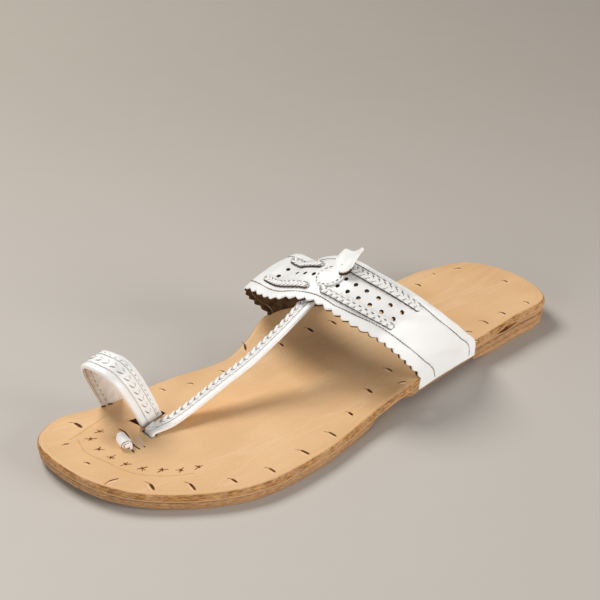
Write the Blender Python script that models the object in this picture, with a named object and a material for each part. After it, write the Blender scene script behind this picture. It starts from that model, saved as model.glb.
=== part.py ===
"""Left toe ring sandal: a layered leather sole, a wide instep strap with braids on it,
a centre strap and a toe ring. Metres, +Z up, +Y to the toe, +X to the big toe's side,
origin on the floor in the middle of the heel."""

import bmesh
import bpy
import numpy as np

# Sole, in metres
sole_length = 0.2624
ball_width = 0.0905
heel_width = 0.0640
insole_thickness = 0.0038
outsole_thickness = 0.0035
wedge_thickness = 0.0024
wedge_edge = 0.0006
lift_thickness = 0.0028
lift_tip = 0.0007
toe_spring = 0.0025
arch_lift = 0.0021
waist_curl = 0.0078
edge_round = 0.0008
outsole_inset = 0.0004
waist_inset = 0.0050
wedge_inset = 0.0006
lift_inset = 0.0010

# Instep strap and what is laid on it
instep_height = 0.0450
strap_wall = 0.0022
strap_bulge = 0.0016
strap_proud = 0.0003
ledge = 0.0024
tooth_pitch = 0.0050
tooth_depth = 0.0016
hole_width = 0.0020
braid_width = 0.0044
braid_thickness = 0.0012
braid_step = 0.0005
plait_pitch = 0.0042
disc_width = 0.0132
disc_thickness = 0.0010
disc_dome = 0.0004
leaf_length = 0.0138
leaf_width = 0.0122
leaf_thickness = 0.0012
leaf_rise = 0.0056
leaf_sag = 0.0006

# Centre strap, toe ring and knot
centre_width = 0.0082
centre_thickness = 0.0015
ring_height = 0.0284
ring_back_rise = 0.0034
ring_lean = 0.0120
ring_wall = 0.0018
ring_power = 0.55
ring_slot = 0.0060
knot_width = 0.0085
knot_radius = 0.0023
knot_wall = 0.0011
slit_spare = 0.0030
bend_room = 0.0010

# Room between two pieces that meet, and round a leg that goes down into the sole
gap = 0.0003
leg_room = 0.0006

# Places along the sole, as shares of its length from the back of the heel
heel_centre = 0.1227
side_ends = (0.1, 0.9)
width_growth = (0.2, 0.6)
wedge_full = 0.13
lift_flat = 0.172
lift_end = 0.245
heel_flat = 0.250
arch_peak = 0.400
wedge_end = 0.330
spread_end = 0.420
curl_back = 0.330
curl_peak = 0.487
curl_front = 0.605
waist_in = (0.41, 0.46, 0.54)
ball_start = 0.590
ball_end = 0.870

# The sole's outline from the heel's tip up the inner side to the toe and back down the
# outer side. Columns: share of the length, share of the half width there.
outline_rows = [
    (0.000, -0.08),
    (0.031, 0.70),
    (0.127, 1.01),
    (0.268, 0.99),
    (0.351, 1.01),
    (0.420, 1.05),
    (0.485, 1.01),
    (0.553, 0.86),
    (0.605, 0.79),
    (0.708, 0.86),
    (0.842, 0.88),
    (0.940, 0.94),
    (0.986, 0.76),
    (1.000, 0.13),
    (0.968, -0.40),
    (0.894, -0.82),
    (0.794, -1.12),
    (0.665, -1.13),
    (0.513, -0.99),
    (0.395, -1.03),
    (0.257, -1.05),
    (0.128, -0.97),
    (0.029, -0.85),
]
toe_row = 13
# Columns of points across the sole, as shares from the outer side, and how much closer
# its rows lie at the heel and the toe
sole_columns = (0.0, 0.09, 0.25, 0.42, 0.58, 0.75, 0.91, 1.0)
end_crowding = 0.55

# The instep strap between its two feet, from the outer side over to the inner side.
# Each row has its front edge and its back edge. Columns of each: share of the length,
# share of the half width there, share of the instep's height above the insole.
strap_rows = [
    ((0.431, -1.00, 0.22), (0.271, -1.04, 0.18)),
    ((0.462, -0.89, 0.46), (0.317, -1.01, 0.44)),
    ((0.489, -0.75, 0.64), (0.359, -0.87, 0.68)),
    ((0.508, -0.55, 0.74), (0.389, -0.68, 0.86)),
    ((0.515, -0.30, 0.79), (0.412, -0.36, 0.99)),
    ((0.519, 0.02, 0.81), (0.417, -0.03, 1.02)),
    ((0.530, 0.27, 0.76), (0.420, 0.30, 0.96)),
    ((0.542, 0.47, 0.69), (0.422, 0.52, 0.845)),
    ((0.540, 0.63, 0.63), (0.417, 0.69, 0.725)),
    ((0.536, 0.83, 0.56), (0.421, 0.94, 0.675)),
    ((0.530, 1.01, 0.46), (0.414, 1.14, 0.57)),
    ((0.516, 1.10, 0.28), (0.393, 1.14, 0.36)),
    ((0.499, 1.08, 0.11), (0.370, 1.08, 0.16)),
]
# Where the strap's two feet stand on the sole's sides: shares of the length, front and back
outer_foot = (0.405, 0.245)
inner_foot = (0.487, 0.349)

# Braids on the strap. Columns: share of the way over the strap at the outer end and at
# the inner end, share of its width from the front edge at each of these ends, share of
# the full braid's width.
braid_rows = {
    "outer_back": (0.275, 0.492, 0.81, 0.78, 1.0),
    "outer_front": (0.268, 0.508, 0.291, 0.230, 0.70),
    "inner_back": (0.578, 0.736, 0.70, 0.80, 1.0),
    "inner_front": (0.552, 0.740, 0.245, 0.290, 0.9),
}
# A braid's columns of points and its edges' height, as shares, and its narrower ends
braid_columns = (-1.0, -0.4, 0.4, 1.0)
braid_shoulder = 0.6
braid_end = 0.5
# Punched holes beside the braids, in two lines on each side. Columns: share of the way
# over the strap at the line's first and last hole, share of its width at these holes,
# number of holes.
hole_rows = [
    (0.295, 0.473, 0.58, 0.57, 6),
    (0.292, 0.475, 0.41, 0.40, 6),
    (0.576, 0.648, 0.49, 0.54, 3),
    (0.712, 0.712, 0.42, 0.60, 2),
]
disc_place = (0.5185, 0.505)
leaf_place = (0.516, 0.655)
leaf_turn = np.radians(33.0)
# How far up the disc's dome the leaf's foot lies, as a share of the dome
leaf_on_dome = 0.6
# The leaf from its foot to its tip. Columns: share of its length, share of its width.
leaf_rows = [
    (0.00, 0.55),
    (0.20, 0.80),
    (0.42, 1.00),
    (0.55, 0.93),
    (0.70, 0.66),
    (0.85, 0.34),
    (0.97, 0.10),
]

# The centre strap's upper face from the slit at the toe to the instep strap. Columns:
# share of the length, share of the instep's height above the insole.
centre_rows = [
    (0.841, 0.000),
    (0.835, 0.043),
    (0.825, 0.050),
    (0.797, 0.062),
    (0.771, 0.10),
    (0.732, 0.18),
    (0.691, 0.27),
    (0.656, 0.34),
    (0.630, 0.40),
    (0.603, 0.48),
    (0.576, 0.56),
]
centre_toe = 0.178
centre_tilt = np.radians(9.0)
centre_top = 0.115
centre_under = (0.03, 0.45)
# Its columns of points across: the plain rim, the split, the plait's two sides
centre_columns = (-0.5, -0.12, 0.0, 0.26, 0.5)

# The toe ring's feet, front and back. Columns: share of the length, share of the half
# width there. Its inner foot stands on the sole's inner side.
ring_outer = ((0.834, 0.300), (0.787, 0.372))
ring_inner = (0.852, 0.812)
# The ring's columns of points across: a plain edge, the plait between two folds, an edge
ring_columns = (0.0, 0.29, 0.33, 0.5, 0.67, 0.71, 1.0)

# The knot's slit: share of the length, share of the half width, turn from straight across
knot_place = (0.8815, 0.160)
knot_turn = np.radians(-12.0)
knot_squash = 0.85


def ease(value, start, end):
    """A smooth step from 0 at start to 1 at end."""
    part = np.clip((np.asarray(value, float) - start) / (end - start), 0.0, 1.0)
    return part * part * (3.0 - 2.0 * part)


def hump(value, start, peak, end):
    """A smooth hill, 0 at start and at end, and 1 at its peak."""
    return ease(value, start, peak) * (1.0 - ease(value, peak, end))


def length_of(vectors):
    return np.sqrt((vectors**2).sum(axis=-1, keepdims=True))


def unit(vectors):
    return vectors / np.maximum(length_of(vectors), 1e-12)


def smooth(points, where, closed=False):
    """Points on a curve through the given ones, where 0 is the first and 1 the next."""
    where = np.asarray(where, float)
    points = np.asarray(points, float)
    if points.ndim == 2:
        points = np.repeat(points[:, None, :], len(where), axis=1)
    if closed:
        points = np.concatenate([points[-1:], points, points[:2]])
    else:
        first = 2.0 * points[:1] - points[1:2]
        last = 2.0 * points[-1:] - points[-2:-1]
        points = np.concatenate([first, points, last])
    step = np.clip(np.floor(where).astype(int), 0, len(points) - 4)
    part = (where - step)[:, None]
    column = np.arange(len(where))
    before, start, end, after = (points[step + k, column] for k in range(4))
    chord = length_of(end - start)
    back = length_of(start - before)
    ahead = length_of(after - end)
    leave = ((start - before) * chord / back + (end - start) * back / chord) / (back + chord)
    arrive = ((end - start) * ahead / chord + (after - end) * chord / ahead) / (ahead + chord)
    square = part * part
    cube = square * part
    return (
        (2.0 * cube - 3.0 * square + 1.0) * start
        + (cube - 2.0 * square + part) * chord * leave
        + (3.0 * square - 2.0 * cube) * end
        + (cube - square) * chord * arrive
    )


def evenly(points, count, closer=0.0):
    """The same line with count points an equal length apart, or closer at its ends."""
    steps = np.linalg.norm(np.diff(points, axis=0), axis=1)
    run = np.concatenate([[0.0], np.cumsum(steps)])
    share = np.linspace(0.0, 1.0, count)
    share = share - closer * np.sin(2.0 * np.pi * share) / (2.0 * np.pi)
    wanted = share * run[-1]
    return np.stack([np.interp(wanted, run, points[:, k]) for k in range(points.shape[1])], axis=1)


def along_of(y):
    return y / sole_length + heel_centre


def y_of(along):
    return (along - heel_centre) * sole_length


def half_width(along):
    """Half the foot's width: the heel's, then growing to the ball's."""
    return 0.5 * (heel_width + (ball_width - heel_width) * ease(along, *width_growth))


def outsole_bottom(x, y):
    """Height of the sole's underside: flat on the heel lift, arched at the waist with its
    inner edge curled up, flat on the floor at the ball, rising at the toe."""
    along = along_of(y)
    heel = (lift_thickness + gap) * (1.0 - ease(along, heel_flat, ball_start))
    arch = arch_lift * hump(along, heel_flat, arch_peak, ball_start)
    toe = toe_spring * np.clip((along - ball_end) / (1.0 - ball_end), 0.0, 1.0) ** 2
    side = np.clip(x / half_width(along), 0.0, 1.0) ** 2
    curl = waist_curl * hump(along, curl_back, curl_peak, curl_front) * side
    return heel + arch + toe + curl


def outsole_top(x, y):
    return outsole_bottom(x, y) + outsole_thickness


def wedge_height(along):
    return wedge_edge + (wedge_thickness - wedge_edge) * (1.0 - ease(along, wedge_full, wedge_end))


def wedge_bottom(x, y):
    return outsole_top(x, y) + gap


def wedge_top(x, y):
    return wedge_bottom(x, y) + wedge_height(along_of(y))


def insole_bottom(x, y):
    """Height of the insole's underside: over the wedge, then closing onto the outsole."""
    along = along_of(y)
    spread = (wedge_height(along) + gap) * (1.0 - ease(along, wedge_end, spread_end))
    return outsole_top(x, y) + gap + spread


def insole_top(x, y):
    return insole_bottom(x, y) + insole_thickness


def outline_point(where):
    along, across = np.array(outline_rows).T
    corners = np.stack([across * half_width(along), y_of(along)], axis=1)
    return smooth(corners, where, closed=True)


def sole_side(inner):
    """The sole's inner or outer side from the heel's tip to the toe's, as a fine line."""
    last = toe_row if inner else toe_row - len(outline_rows)
    return outline_point(np.linspace(0.0, last, 700) % len(outline_rows))


def side_x(y, inner):
    """How far out the sole's side lies at y, between heel and toe."""
    line = sole_side(inner)
    keep = (along_of(line[:, 1]) > side_ends[0]) & (along_of(line[:, 1]) < side_ends[1])
    return np.interp(y, line[keep, 1], line[keep, 0])


def side_rows(inner, inset, rows, end):
    """Points down one side of the sole, and the same points moved in by the inset."""
    line = sole_side(inner)
    if end < 1.0:
        line = line[along_of(line[:, 1]) <= end]
        line = np.concatenate([line, [(side_x(y_of(end), inner), y_of(end))]])
    line = evenly(line, rows, end_crowding if end == 1.0 else 0.0)
    direction = unit(np.gradient(line, axis=0))
    turn = 1.0 if inner else -1.0
    inward = np.stack([-direction[:, 1], direction[:, 0]], axis=1) * turn
    moved = line + inward * inset(along_of(line[:, 1]))[:, None]
    if end < 1.0:
        moved[-1, 1] = line[-1, 1]
    return line, moved


def sole_grid(inset, outer_inset, rows, end=1.0):
    """A grid of points over the sole: rows from heel to toe, columns across. Between the
    two ends only its outermost columns are moved in by the insets, so layers line up."""
    outer, outer_moved = side_rows(False, outer_inset, rows, end)
    inner, inner_moved = side_rows(True, inset, rows, end)
    outer_moved[0] = inner_moved[0] = 0.5 * (outer_moved[0] + inner_moved[0])
    if end == 1.0:
        outer_moved[-1] = inner_moved[-1] = 0.5 * (outer_moved[-1] + inner_moved[-1])
    across = np.array(sole_columns)[None, :, None]
    full = outer[:, None] + (inner - outer)[:, None] * across
    small = outer_moved[:, None] + (inner_moved - outer_moved)[:, None] * across
    along = along_of(inner[:, 1])
    keep = (ease(along, 0.03, 0.12) * (1.0 - ease(along, 0.88, 0.97)))[:, None, None]
    grid = small + (full - small) * keep
    grid[:, 0] = outer_moved
    grid[:, -1] = inner_moved
    return grid


def raised(grid, height, shift=0.0):
    z = height(grid[..., 0], grid[..., 1]) + shift
    return np.concatenate([grid, z[..., None]], axis=-1)


def finish_look(name, colour, roughness):
    look = bpy.data.materials.new(name)
    look.use_nodes = True
    shader = look.node_tree.nodes["Principled BSDF"]
    shader.inputs["Base Color"].default_value = (*colour, 1.0)
    shader.inputs["Roughness"].default_value = roughness
    shader.inputs["Metallic"].default_value = 0.0
    return look


def solid(name, grids, look):
    """A closed body between its first and last grid, whose rims are joined through the
    rims of any grids between them."""
    rows, columns = grids[0].shape[:2]
    number = np.arange(rows * columns).reshape(rows, columns)
    rim = np.concatenate([number[0], number[1:, -1], number[-1, -2::-1], number[-2:0:-1, 0]])
    points = [grids[0].reshape(-1, 3)]
    points += [grid.reshape(-1, 3)[rim] for grid in grids[1:-1]]
    points.append(grids[-1].reshape(-1, 3))
    first_half = np.stack([number[:-1, :-1], number[:-1, 1:], number[1:, 1:]], axis=-1)
    other_half = np.stack([number[:-1, :-1], number[1:, 1:], number[1:, :-1]], axis=-1)
    halves = np.concatenate([first_half.reshape(-1, 3), other_half.reshape(-1, 3)])
    last_start = len(points[0]) + len(rim) * (len(grids) - 2)
    faces = halves.tolist() + (halves[:, ::-1] + last_start).tolist()
    loops = [rim]
    loops += [len(points[0]) + len(rim) * k + np.arange(len(rim)) for k in range(len(grids) - 2)]
    loops.append(rim + last_start)
    for upper, lower in zip(loops[:-1], loops[1:]):
        after_upper = np.roll(upper, -1)
        after_lower = np.roll(lower, -1)
        faces += np.stack([upper, lower, after_lower, after_upper], axis=-1).tolist()
    mesh = bpy.data.meshes.new(name)
    mesh.from_pydata(np.concatenate(points).tolist(), [], faces)
    work = bmesh.new()
    work.from_mesh(mesh)
    bmesh.ops.remove_doubles(work, verts=work.verts, dist=1e-6)
    bmesh.ops.recalc_face_normals(work, faces=work.faces)
    work.to_mesh(mesh)
    work.free()
    mesh.shade_smooth()
    mesh.set_sharp_from_angle(angle=np.radians(40.0))
    mesh.materials.append(look)
    made = bpy.data.objects.new(name, mesh)
    bpy.context.collection.objects.link(made)
    return made


def cutter(name, grids):
    made = solid(name, grids, cut_look)
    made.hide_render = True
    made.display_type = "WIRE"
    return made


def cut(target, tool):
    change = target.modifiers.new(tool.name, "BOOLEAN")
    change.operation = "DIFFERENCE"
    change.object = tool
    change.solver = "EXACT"


def sole_layer(name, look, bottom, top, inset, outer_inset, rows, rounding, end=1.0):
    """One layer of the sole, with its edge rounded above and below."""
    full = sole_grid(inset, outer_inset, rows, end)
    if not rounding:
        return solid(name, [raised(full, top), raised(full, bottom)], look)
    small = sole_grid(
        lambda along: inset(along) + rounding, lambda along: outer_inset(along) + rounding, rows, end
    )
    grids = [
        raised(small, top),
        raised(full, top, -rounding),
        raised(full, bottom, rounding),
        raised(small, bottom),
    ]
    return solid(name, grids, look)


def build_sole():
    """Insole, heel wedge, outsole and heel lift, from the top down. The lift's underside
    rises toward the waist as the square of the share between its flat part and its end."""

    def flush(along):
        return np.zeros_like(along)

    def outsole_in(along):
        return np.full_like(along, outsole_inset)

    def outsole_outer(along):
        return outsole_inset + waist_inset * hump(along, *waist_in)

    def wedge_in(along):
        return np.full_like(along, wedge_inset)

    def lift_in(along):
        return np.full_like(along, lift_inset)

    insole = sole_layer(
        "insole", insole_look, insole_bottom, insole_top, flush, flush, 36, edge_round
    )
    wedge = sole_layer(
        "heel_wedge", edge_look, wedge_bottom, wedge_top, wedge_in, wedge_in, 14, 0.0, wedge_end
    )
    outsole = sole_layer(
        "outsole", outsole_look, outsole_bottom, outsole_top, outsole_in, outsole_outer, 36, edge_round
    )

    def floor(x, y):
        share = (along_of(y) - lift_flat) / (lift_end - lift_flat)
        return (lift_thickness - lift_tip) * np.clip(share, 0.0, 1.0) ** 2

    def lift_top(x, y):
        return np.full_like(x, lift_thickness)

    sole_layer("heel_lift", edge_look, floor, lift_top, lift_in, lift_in, 14, 0.0, lift_end)
    return insole, wedge, outsole


def foot_x(y, inner):
    """The strap's outer face where it runs down the sole's side."""
    return side_x(y, inner) + (strap_proud if inner else -strap_proud)


def foot_points(foot, inner, across, height):
    """Points of the strap's outer face on the sole's side, across its width."""
    y = y_of(foot[0] + (foot[1] - foot[0]) * across)
    x = foot_x(y, inner)
    return np.stack([x, y, height(x, y)], axis=1)


def strap_end(x, y):
    return outsole_bottom(x, y) + ledge


def edge_point(row):
    along, across, up = row
    x = across * half_width(along)
    y = y_of(along)
    return np.array([x, y, insole_top(x, y) + up * instep_height])


def strap_control(across):
    """The strap's outer face as rows over the foot, at shares across its width."""
    rows = [
        foot_points(outer_foot, False, across, strap_end),
        foot_points(outer_foot, False, across, insole_top),
    ]
    for front_row, back_row in strap_rows:
        front = edge_point(front_row)
        back = edge_point(back_row)
        line = front + (back - front) * across[:, None]
        middle = 0.5 * (front + back)
        out = unit(np.array([middle[0], 0.0, middle[2] - insole_top(0.0, middle[1])]))
        rows.append(line + out * (4.0 * strap_bulge * across * (1.0 - across))[:, None])
    rows.append(foot_points(inner_foot, True, across, insole_top))
    rows.append(foot_points(inner_foot, True, across, strap_end))
    return np.array(rows)


def strap_point(over, across):
    """Points of the strap's outer face. Over is the share of the way from the outer end to
    the inner end, across the share of the width from the front edge."""
    over, across = np.broadcast_arrays(np.asarray(over, float), np.asarray(across, float))
    flat_over = over.ravel()
    flat_across = across.ravel()
    middle = strap_control(np.array([0.5]))[:, 0]
    run = np.concatenate([[0.0], np.cumsum(np.linalg.norm(np.diff(middle, axis=0), axis=1))])
    where = np.interp(flat_over, run / run[-1], np.arange(len(run)))
    return smooth(strap_control(flat_across), where).reshape(*over.shape, 3)


def strap_out(over, across):
    """The direction straight out of the strap's outer face."""
    step = 0.004
    low = np.clip(np.asarray(over, float) - step, 0.0, 1.0)
    high = np.clip(np.asarray(over, float) + step, 0.0, 1.0)
    along = strap_point(high, across) - strap_point(low, across)
    back = strap_point(over, across + step) - strap_point(over, across - step)
    return unit(np.cross(back, along))


def strap_lift(over, across, height):
    """Points at a height over the strap's outer face, or inside it where it is negative."""
    height = np.broadcast_to(height, np.broadcast(over, across).shape)
    return strap_point(over, across) + strap_out(over, across) * height[..., None]


def strap_width(over):
    over = np.asarray(over, float)
    return length_of(strap_point(over, 1.0) - strap_point(over, 0.0))[..., 0]


def strap_run(across):
    """The strap's length over the foot at a share of its width."""
    line = strap_point(np.linspace(0.0, 1.0, 200), across)
    return length_of(np.diff(line, axis=0)).sum()


def build_instep_strap():
    """The wide strap: one wall with a toothed front edge, punched in four lines."""
    teeth = int(round(strap_run(0.0) / tooth_pitch))
    over = np.linspace(0.0, 1.0, 3 * teeth + 1)
    notch = np.where(np.arange(len(over)) % 3 == 0, 1.0, 0.0)
    notch[0] = notch[-1] = 0.0
    front = notch * tooth_depth / strap_width(over)
    share = np.array([0.0, 0.06, 0.25, 0.5, 0.75, 1.0])
    across = front[:, None] + (1.0 - front)[:, None] * share[None, :]
    across[:, 1] = share[1] + tooth_depth / strap_width(over)
    over = np.repeat(over[:, None], len(share), axis=1)
    outer = strap_lift(over, across, 0.0)
    inner = strap_lift(over, across, -strap_wall)
    strap = solid("instep_strap", [outer, inner], strap_look)
    cut(strap, hole_punches())
    return strap


def hole_punches():
    """One cutter with a short eight-sided rod through each punched hole."""
    angle = np.radians(np.arange(8) * 45.0 + 22.5)
    points = []
    faces = []
    for over_first, over_last, across_first, across_last, holes in hole_rows:
        for share in np.linspace(0.0, 1.0, holes):
            over = np.array([over_first + (over_last - over_first) * share])
            across = np.array([across_first + (across_last - across_first) * share])
            centre = strap_point(over, across)[0]
            out = strap_out(over, across)[0]
            side = unit(np.cross(out, (0.0, 1.0, 0.0)))
            up = np.cross(side, out)
            ring = side * np.cos(angle)[:, None] + up * np.sin(angle)[:, None]
            ring = centre + ring * 0.5 * hole_width
            start = len(points)
            points += list(ring + out * strap_wall)
            points += list(ring - out * 2.0 * strap_wall)
            faces.append([start + k for k in range(8)])
            faces.append([start + 8 + k for k in range(7, -1, -1)])
            for k in range(8):
                after = (k + 1) % 8
                faces.append([start + k, start + 8 + k, start + 8 + after, start + after])
    mesh = bpy.data.meshes.new("hole_punches")
    mesh.from_pydata([tuple(point) for point in points], [], faces)
    work = bmesh.new()
    work.from_mesh(mesh)
    bmesh.ops.recalc_face_normals(work, faces=work.faces)
    work.to_mesh(mesh)
    work.free()
    tool = bpy.data.objects.new("hole_punches", mesh)
    bpy.context.collection.objects.link(tool)
    tool.hide_render = True
    tool.display_type = "WIRE"
    return tool


def foot_recess(name, foot, inner):
    """A cutter that clears the sole's side for one foot of the strap."""
    width = abs(y_of(foot[0]) - y_of(foot[1]))
    across = np.linspace(-leg_room / width, 1.0 + leg_room / width, 13)
    deep = foot_points(foot, inner, across, strap_end)
    deep[:, 2] -= gap
    inward = -1.0 if inner else 1.0
    deep[:, 0] += inward * (strap_wall + leg_room)
    far = deep.copy()
    far[:, 0] -= inward * 4.0 * strap_wall
    rise = insole_thickness + outsole_thickness + wedge_thickness + 4.0 * strap_wall
    up = np.array([0.0, 0.0, rise])
    walls = [np.stack([line, line + up], axis=1) for line in (far, deep)]
    return cutter(name, walls)


def build_braids():
    """Plaited strips laid on the strap, their strands standing up in turn."""
    for name, (over_outer, over_inner, across_outer, across_inner, wide) in braid_rows.items():
        run = strap_run(0.5 * (across_outer + across_inner)) * (over_inner - over_outer)
        rows = 2 * int(round(run / plait_pitch)) + 1
        share = np.linspace(0.0, 1.0, rows)
        over = over_outer + (over_inner - over_outer) * share
        middle = across_outer + (across_inner - across_outer) * share
        half = 0.5 * wide * braid_width / strap_width(over)
        half[[0, -1]] *= braid_end
        side = np.array(braid_columns)
        across = middle[:, None] + half[:, None] * side[None, :]
        over = np.repeat(over[:, None], len(side), axis=1)
        odd = np.arange(rows) % 2
        top = np.full(across.shape, gap + braid_shoulder * braid_thickness)
        top[:, 1] = gap + braid_thickness + braid_step * odd
        top[:, 2] = gap + braid_thickness + braid_step * (1 - odd)
        grids = [strap_lift(over, across, top), strap_lift(over, across, gap)]
        solid(f"braid_{name}", grids, braid_look)


def build_disc():
    """The round, slightly domed patch in the middle of the strap."""
    line = np.linspace(-1.0, 1.0, 9)
    a, b = np.meshgrid(line, line, indexing="ij")
    right = a * np.sqrt(1.0 - 0.5 * b * b)
    back = b * np.sqrt(1.0 - 0.5 * a * a)
    over, across = disc_place
    length = strap_run(across)
    radius = 0.5 * disc_width
    over = over + right * radius / length
    across = across + back * radius / strap_width(disc_place[0])
    dome = disc_dome * (1.0 - right**2 - back**2)
    grids = [
        strap_lift(over, across, gap + disc_thickness + dome),
        strap_lift(over, across, gap),
    ]
    solid("centre_disc", grids, strap_look)


def build_leaf():
    """A pointed tab that starts flat on the strap and stands up behind it."""
    over, across = (np.array([value]) for value in leaf_place)
    root = strap_point(over, across)[0]
    out = strap_out(over, across)[0]
    straight = unit(strap_point(over, across + 0.01)[0] - strap_point(over, across - 0.01)[0])
    outward = np.cross(straight, out)
    back = straight * np.cos(leaf_turn) + outward * np.sin(leaf_turn)
    side = np.cross(back, out)
    under = disc_thickness + leaf_on_dome * disc_dome + gap
    table = np.array(leaf_rows)
    share = np.linspace(0.0, table[-1, 0], 10)
    width = 0.5 * leaf_width * np.interp(share, table[:, 0], table[:, 1])
    rise = leaf_rise * share**2
    middle = root + back * (leaf_length * share)[:, None] + out * (gap + under + rise)[:, None]
    columns = np.linspace(-1.0, 1.0, 5)
    lower = middle[:, None] + side * (width[:, None] * columns[None, :])[..., None]
    sag = leaf_sag * columns**2 * ease(share, 0.1, 0.5)[:, None]
    lower = lower + out * sag[..., None]
    direction = unit(np.gradient(middle, axis=0))
    up = np.cross(side, direction)
    upper = lower + leaf_thickness * up[:, None]
    solid("leaf_tab", [upper, lower], strap_look)


def build_centre_strap():
    """The narrow strap from the toe's slit to the underside of the instep strap: a plait
    on its inner part and a plain rim on its outer part."""
    under = np.linspace(centre_under[0], centre_under[1], 4)
    place = np.interp(centre_top * half_width(0.5), *strap_middle())
    hidden = strap_lift(place, under, -(strap_wall + leg_room))
    rows = []
    for along, up in centre_rows:
        y = y_of(along)
        share = (along - centre_rows[0][0]) / (along_of(hidden[0, 1]) - centre_rows[0][0])
        start_x = centre_toe * half_width(centre_rows[0][0])
        x = start_x + (hidden[0, 0] - start_x) * share
        rows.append((x, y, insole_top(x, y) + up * instep_height))
    mouth = np.array(rows[0])
    end = mouth + np.array([0.0, 0.3 * centre_thickness, 0.0])
    end[2] = outsole_top(mouth[0], mouth[1]) + 2.0 * gap
    throat = np.array([end[0], end[1], 0.5 * (end[2] + mouth[2])])
    points = np.array([end, throat, *rows[1:], *hidden])
    dense = smooth(points, np.linspace(0.0, len(points) - 1.0, 400))
    count = 2 * int(round(length_of(np.diff(dense, axis=0)).sum() / plait_pitch)) + 1
    line = evenly(dense, count)
    direction = unit(np.gradient(line, axis=0))
    side = unit(np.cross((0.0, 0.0, 1.0), direction))
    side[:6] = side[6]
    row = np.arange(count)
    tilt = centre_tilt * ease(row, 3, 12) * (1.0 - ease(row, count - 12, count - 6))
    upright = unit(np.cross(direction, side))
    side = side * np.cos(tilt)[:, None] - upright * np.sin(tilt)[:, None]
    normal = unit(np.cross(direction, side))
    columns = np.array(centre_columns)
    odd = np.arange(count) % 2
    drop = np.zeros((count, len(columns)))
    drop[:, 1] = 0.5 * braid_step
    drop[:, 2] = braid_step * odd
    drop[:, 3] = braid_step * (1 - odd)
    drop[:, 4] = 0.5 * braid_step
    upper = line[:, None] + side[:, None] * (columns * centre_width)[None, :, None]
    lower = upper - normal[:, None] * centre_thickness
    upper = upper - normal[:, None] * drop[..., None]
    strap = solid("centre_strap", [upper, lower], strap_look)
    return strap, end, mouth


def strap_middle():
    """The strap's x at its front edge against its share of the way over, on the top."""
    over = np.linspace(0.35, 0.7, 80)
    return strap_point(over, 0.0)[:, 0], over


def toe_slit(end, mouth):
    """A cutter for the slit that the centre strap goes down."""
    half = 0.5 * centre_width + gap
    front = end[1] + gap
    back = end[1] - centre_thickness - gap - bend_room
    top = insole_top(mouth[0], mouth[1]) + insole_thickness
    bottom = outsole_bottom(mouth[0], mouth[1])
    walls = []
    for y in (front, back):
        walls.append(
            np.array(
                [
                    [(mouth[0] - half, y, bottom), (mouth[0] - half, y, top)],
                    [(mouth[0] + half, y, bottom), (mouth[0] + half, y, top)],
                ]
            )
        )
    return cutter("toe_slit", walls)


def ring_feet(across):
    """The ring's outer face at the insole's top: its outer foot and its inner foot, at a
    share of the band's width from its front edge."""
    along = ring_outer[0][0] + (ring_outer[1][0] - ring_outer[0][0]) * across
    wide = ring_outer[0][1] + (ring_outer[1][1] - ring_outer[0][1]) * across
    x = wide * half_width(along)
    y = y_of(along)
    outer = np.array([x, y, insole_top(x, y)])
    y = y_of(ring_inner[0] + (ring_inner[1] - ring_inner[0]) * across)
    x = foot_x(y, True)
    return outer, np.array([x, y, insole_top(x, y)])


def ring_line(across, count):
    """The band's outer face as one line from foot to foot: straight legs in the sole and
    a rounded arch that leans to the toe."""
    outer, inner = ring_feet(across)
    angle = np.linspace(0.0, np.pi, 241)
    turn = np.cos(angle)
    wide = 0.5 * (1.0 - np.sign(turn) * np.abs(turn) ** ring_power)
    high = np.abs(np.sin(angle)) ** ring_power
    lean = np.array([0.0, ring_lean, ring_height + ring_back_rise * across])
    arch = outer + (inner - outer) * wide[:, None] + lean * high[:, None]
    arch = evenly(arch, 241)
    legs = []
    for foot in (outer, inner):
        low = outsole_top(foot[0], foot[1]) + gap
        legs.append(np.array([foot[0], foot[1], low]))
    return evenly(np.concatenate([legs[:1], arch, legs[1:]]), count)


def build_toe_ring():
    """The band over the big toe: one wall with a plait raised along its middle."""
    columns = np.array(ring_columns)
    length = length_of(np.diff(ring_line(0.5, 200), axis=0)).sum()
    count = 2 * int(round(length / plait_pitch)) + 1
    face = np.stack([ring_line(across, count) for across in columns], axis=1)
    along = np.gradient(face, axis=0)
    back = np.gradient(face, axis=1)
    out = unit(np.cross(back, along))
    odd = np.arange(count) % 2
    step = np.zeros((count, len(columns)))
    step[:, 2] = braid_step * odd
    step[:, 3] = braid_step * (1 - odd)
    step[:, 4] = braid_step * odd
    legs = ease(np.arange(count), 3, 4) * (1.0 - ease(np.arange(count), count - 5, count - 4))
    outer = face + out * (step * legs[:, None])[..., None]
    inner = face - out * ring_wall
    return solid("toe_ring", [outer, inner], strap_look)


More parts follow.
